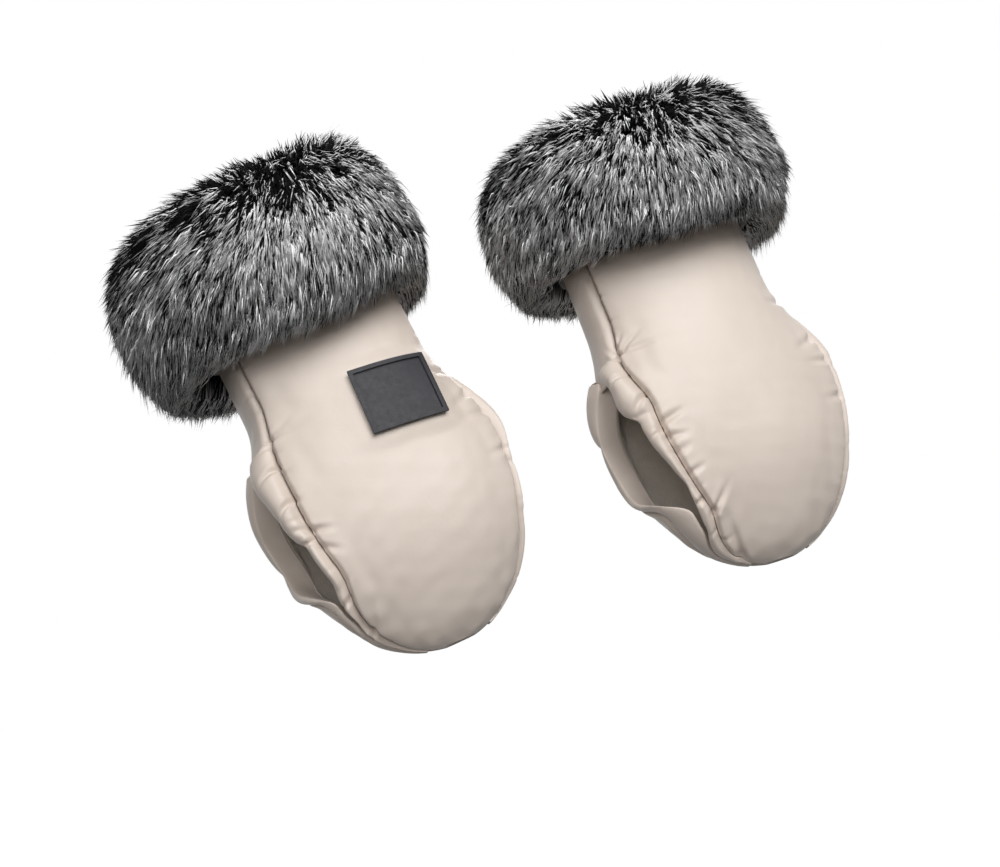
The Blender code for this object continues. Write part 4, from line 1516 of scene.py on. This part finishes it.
def build_fleece(tree, shader):
    look = bpy.context.scene.muff_finish
    place = object_place(tree)
    colour = tuple(look.fleece)
    shade = tuple(FLEECE_SHADE * each for each in colour)
    tree.links.new(mix_colours(tree, colour, shade, noise(tree, place, 300.0)), shader.inputs["Base Color"])
    shader.inputs["Roughness"].default_value = 0.95
    shader.inputs["Sheen Weight"].default_value = 0.5
    add_bump(tree, shader, ((noise(tree, place, 700.0, 5.0, 0.7), 0.8, 0.001),))


def band_material():
    return named_material("foam_band_cloth", build_band)


def build_band(tree, shader):
    place = object_place(tree)
    tone = noise(tree, place, 200.0)
    tree.links.new(mix_colours(tree, *BAND_COLOURS, tone), shader.inputs["Base Color"])
    shader.inputs["Roughness"].default_value = 0.9
    add_bump(tree, shader, ((noise(tree, place, 900.0), 0.5, 0.0006),))


def fur_backing_material():
    return named_material("short_dark_fur", build_fur_backing)


def build_fur_backing(tree, shader):
    place = object_place(tree)
    tone = noise(tree, place, 500.0, 6.0, 0.7)
    tree.links.new(mix_colours(tree, *FELT_COLOURS, tone), shader.inputs["Base Color"])
    shader.inputs["Roughness"].default_value = 1.0
    shader.inputs["Specular IOR Level"].default_value = 0.1
    add_bump(tree, shader, ((noise(tree, place, 800.0, 4.0), 1.0, 0.001),))


def fur_material():
    return named_material("silver_fur", build_fur)


def build_fur(tree, shader):
    """Dark roots, and ends from charcoal to silver by each strand's tone."""
    look = bpy.context.scene.muff_fur
    place = add_node(tree, "UVMap", uv_map="OFBake").outputs["UV"]
    parts = add_node(tree, "SeparateXYZ")
    tree.links.new(place, parts.inputs["Vector"])
    pale = ramp(tree, parts.outputs["X"], STRAND_TONE_STOPS)
    tip = mix_colours(tree, tuple(look.root_colour), tuple(look.tip_colour), pale)
    along = ramp(tree, parts.outputs["Y"], STRAND_LENGTH_STOPS)
    colour = mix_colours(tree, tuple(look.root_colour), tip, along)
    tree.links.new(colour, shader.inputs["Base Color"])
    shader.inputs["Roughness"].default_value = 0.5
    shader.inputs["Specular IOR Level"].default_value = 0.08


def rubber_material():
    return named_material("moulded_rubber", build_rubber)


def build_rubber(tree, shader):
    look = bpy.context.scene.muff_finish
    place = object_place(tree)
    colour = tuple(look.rubber)
    worn = tuple(RUBBER_WEAR * each for each in colour)
    tree.links.new(mix_colours(tree, colour, worn, noise(tree, place, 120.0)), shader.inputs["Base Color"])
    tree.links.new(ramp(tree, noise(tree, place, 300.0), RUBBER_SHINE_STOPS), shader.inputs["Roughness"])
    shader.inputs["Specular IOR Level"].default_value = 0.30
    add_bump(tree, shader, ((noise(tree, place, 1500.0, 2.0), 0.3, 0.0002),))


def steel_material():
    return named_material("brushed_snap_steel", build_steel)


def build_steel(tree, shader):
    look = bpy.context.scene.muff_finish
    place = object_place(tree)
    shader.inputs["Base Color"].default_value = (*look.steel, 1)
    shader.inputs["Metallic"].default_value = 1.0
    tree.links.new(ramp(tree, noise(tree, place, 900.0), STEEL_SHINE_STOPS), shader.inputs["Roughness"])
    add_bump(tree, shader, ((noise(tree, place, 1200.0), 0.15, 0.0002),))


def camera_axes():
    """The camera's right, up and backward directions."""
    look = bpy.context.scene.muff_stage
    level = math.cos(look.elevation)
    back = Vector(
        (math.sin(look.azimuth) * level, -math.cos(look.azimuth) * level, math.sin(look.elevation))
    )
    flat_right = Vector((math.cos(look.azimuth), math.sin(look.azimuth), 0))
    flat_up = back.cross(flat_right)
    right = flat_right * math.cos(look.roll) + flat_up * math.sin(look.roll)
    up = flat_up * math.cos(look.roll) - flat_right * math.sin(look.roll)
    return right, up, back


def make_camera():
    look = bpy.context.scene.muff_stage
    right, up, back = camera_axes()
    flat_right = Vector((math.cos(look.azimuth), math.sin(look.azimuth), 0))
    place = back * look.distance + flat_right * look.shift_right + back.cross(flat_right) * look.shift_up
    bpy.ops.object.camera_add(location=place)
    camera = bpy.context.object
    camera.name = "photo_camera"
    camera.matrix_world = Matrix.Translation(place) @ Matrix((right, up, back)).transposed().to_4x4()
    camera.data.lens = look.lens
    camera.data.sensor_width = SENSOR_WIDTH
    bpy.context.scene.camera = camera


def add_lamp(name, place, size, power):
    bpy.ops.object.light_add(type="AREA", location=place)
    lamp = bpy.context.object
    lamp.name = name
    lamp.data.shape = "DISK"
    lamp.data.size = size
    lamp.data.energy = power
    lamp.rotation_mode = "QUATERNION"
    lamp.rotation_quaternion = Vector(place).to_track_quat("Z", "Y")
    return lamp


def sees_background(tree):
    """1 for the camera's rays and for those that a shiny or clear surface sends on."""
    path = add_node(tree, "LightPath")
    total = path.outputs["Is Camera Ray"]
    for label in ("Is Glossy Ray", "Is Transmission Ray"):
        most = add_node(tree, "Math", operation="MAXIMUM")
        tree.links.new(total, most.inputs[0])
        tree.links.new(path.outputs[label], most.inputs[1])
        total = most.outputs[0]
    return total


def make_world():
    look = bpy.context.scene.muff_stage
    world = bpy.data.worlds.new("studio")
    bpy.context.scene.world = world
    world.use_nodes = True
    tree = world.node_tree
    lit = tree.nodes["Background"]
    lit.inputs["Color"].default_value = (1, 1, 1, 1)
    lit.inputs["Strength"].default_value = look.sky_strength
    shown = add_node(tree, "Background", {"Color": (1, 1, 1, 1), "Strength": 1.0})
    mix = add_node(tree, "MixShader")
    tree.links.new(sees_background(tree), mix.inputs[0])
    tree.links.new(lit.outputs[0], mix.inputs[1])
    tree.links.new(shown.outputs[0], mix.inputs[2])
    tree.links.new(mix.outputs[0], tree.nodes["World Output"].inputs["Surface"])


def build_floor(tree, shader):
    """White, with the object's shadow showing softly."""
    seen = add_node(tree, "LightPath").outputs["Is Camera Ray"]
    colour = mix_colours(tree, (FLOOR_BOUNCE,) * 3, (FLOOR_SEEN,) * 3, seen)
    tree.links.new(colour, shader.inputs["Base Color"])
    shader.inputs["Roughness"].default_value = FLOOR_ROUGHNESS
    glow = add_node(tree, "Emission", {"Color": (1, 1, 1, 1), "Strength": FLOOR_GLOW})
    add = add_node(tree, "MixShader")
    share = add_node(tree, "Math", {1: FLOOR_GLOW_SHARE}, operation="MULTIPLY")
    tree.links.new(sees_background(tree), share.inputs[0])
    tree.links.new(share.outputs[0], add.inputs[0])
    tree.links.new(shader.outputs[0], add.inputs[1])
    tree.links.new(glow.outputs[0], add.inputs[2])
    tree.links.new(add.outputs[0], tree.nodes["Material Output"].inputs["Surface"])


def make_stage():
    look = bpy.context.scene.muff_stage
    bpy.context.scene.view_settings.view_transform = "Standard"
    make_camera()
    make_world()
    for name, (place, size, power) in LAMPS.items():
        add_lamp(name, place, size, getattr(look, power))
    bpy.ops.object.select_all(action="DESELECT")
    bpy.ops.mesh.primitive_plane_add(size=FLOOR_SIZE, location=(0, 0, look.floor_height))
    floor = bpy.context.object
    floor.name = "pale_floor"
    floor.data.materials.append(named_material("white_floor", build_floor))


class MUFF_OT_front_panels(Operator):
    """Make the padded front panels"""

    bl_idname = "hand_muff.front_panels"
    bl_label = "Front panels"

    def execute(self, context):
        make_front_panels()
        return {"FINISHED"}


class MUFF_OT_back_panels(Operator):
    """Make the padded back panels"""

    bl_idname = "hand_muff.back_panels"
    bl_label = "Back panels"

    def execute(self, context):
        make_back_panels()
        return {"FINISHED"}


class MUFF_OT_lips(Operator):
    """Make the gathered lips along the side slits"""

    bl_idname = "hand_muff.lips"
    bl_label = "Slit lips"

    def execute(self, context):
        make_lips()
        return {"FINISHED"}


class MUFF_OT_side_bands(Operator):
    """Make the gussets above the notches"""

    bl_idname = "hand_muff.side_bands"
    bl_label = "Side bands"

    def execute(self, context):
        make_side_bands()
        return {"FINISHED"}


class MUFF_OT_linings(Operator):
    """Make the fleece linings of the panels and of the cuffs"""

    bl_idname = "hand_muff.linings"
    bl_label = "Linings"

    def execute(self, context):
        make_linings()
        make_cuff_linings()
        return {"FINISHED"}


class MUFF_OT_cuffs(Operator):
    """Make the cuff bands, the fur's backing and its strands"""

    bl_idname = "hand_muff.cuffs"
    bl_label = "Fur cuffs"

    def execute(self, context):
        make_cuff_bands()
        make_fur_backings()
        make_fur()
        return {"FINISHED"}


class MUFF_OT_badge(Operator):
    """Make the rubber badge on the left muff"""

    bl_idname = "hand_muff.badge"
    bl_label = "Badge"

    def execute(self, context):
        make_badge()
        return {"FINISHED"}


class MUFF_OT_snaps(Operator):
    """Give the snap fasteners their metal"""

    bl_idname = "hand_muff.snaps"
    bl_label = "Snaps"

    def execute(self, context):
        finish_snaps()
        return {"FINISHED"}


class MUFF_OT_stage(Operator):
    """Make the floor, the lamps, the world and the camera"""

    bl_idname = "hand_muff.stage"
    bl_label = "Stage"

    def execute(self, context):
        make_stage()
        return {"FINISHED"}


LOOKS = (
    ("muff_sizes", MuffSizes),
    ("muff_padding", PaddingLook),
    ("muff_fur", FurLook),
    ("muff_finish", FinishLook),
    ("muff_stage", StageLook),
)
OPERATORS = (
    MUFF_OT_stage,
    MUFF_OT_front_panels,
    MUFF_OT_back_panels,
    MUFF_OT_side_bands,
    MUFF_OT_lips,
    MUFF_OT_linings,
    MUFF_OT_cuffs,
    MUFF_OT_badge,
    MUFF_OT_snaps,
)


class MUFF_PT_panel(Panel):
    """Lists the looks and the makers of the hand muffs"""

    bl_idname = "MUFF_PT_panel"
    bl_label = "Hand muffs"
    bl_space_type = "VIEW_3D"
    bl_region_type = "UI"
    bl_category = "Hand muffs"

    def draw(self, context):
        for maker in OPERATORS:
            self.layout.operator(maker.bl_idname)
        for label, look in LOOKS:
            box = self.layout.box()
            for setting in look.__annotations__:
                box.prop(getattr(context.scene, label), setting)


def register():
    for label, look in LOOKS:
        bpy.utils.register_class(look)
        setattr(bpy.types.Scene, label, bpy.props.PointerProperty(type=look))
    for maker in OPERATORS:
        bpy.utils.register_class(maker)
    bpy.utils.register_class(MUFF_PT_panel)


def unregister():
    bpy.utils.unregister_class(MUFF_PT_panel)
    for maker in reversed(OPERATORS):
        bpy.utils.unregister_class(maker)
    for label, look in reversed(LOOKS):
        delattr(bpy.types.Scene, label)
        bpy.utils.unregister_class(look)


def main():
    register()
    bpy.ops.hand_muff.stage()
    bpy.ops.hand_muff.front_panels()
    bpy.ops.hand_muff.back_panels()
    bpy.ops.hand_muff.side_bands()
    bpy.ops.hand_muff.lips()
    bpy.ops.hand_muff.linings()
    bpy.ops.hand_muff.cuffs()
    bpy.ops.hand_muff.badge()
    bpy.ops.hand_muff.snaps()


if __name__ == "__main__":
    main()
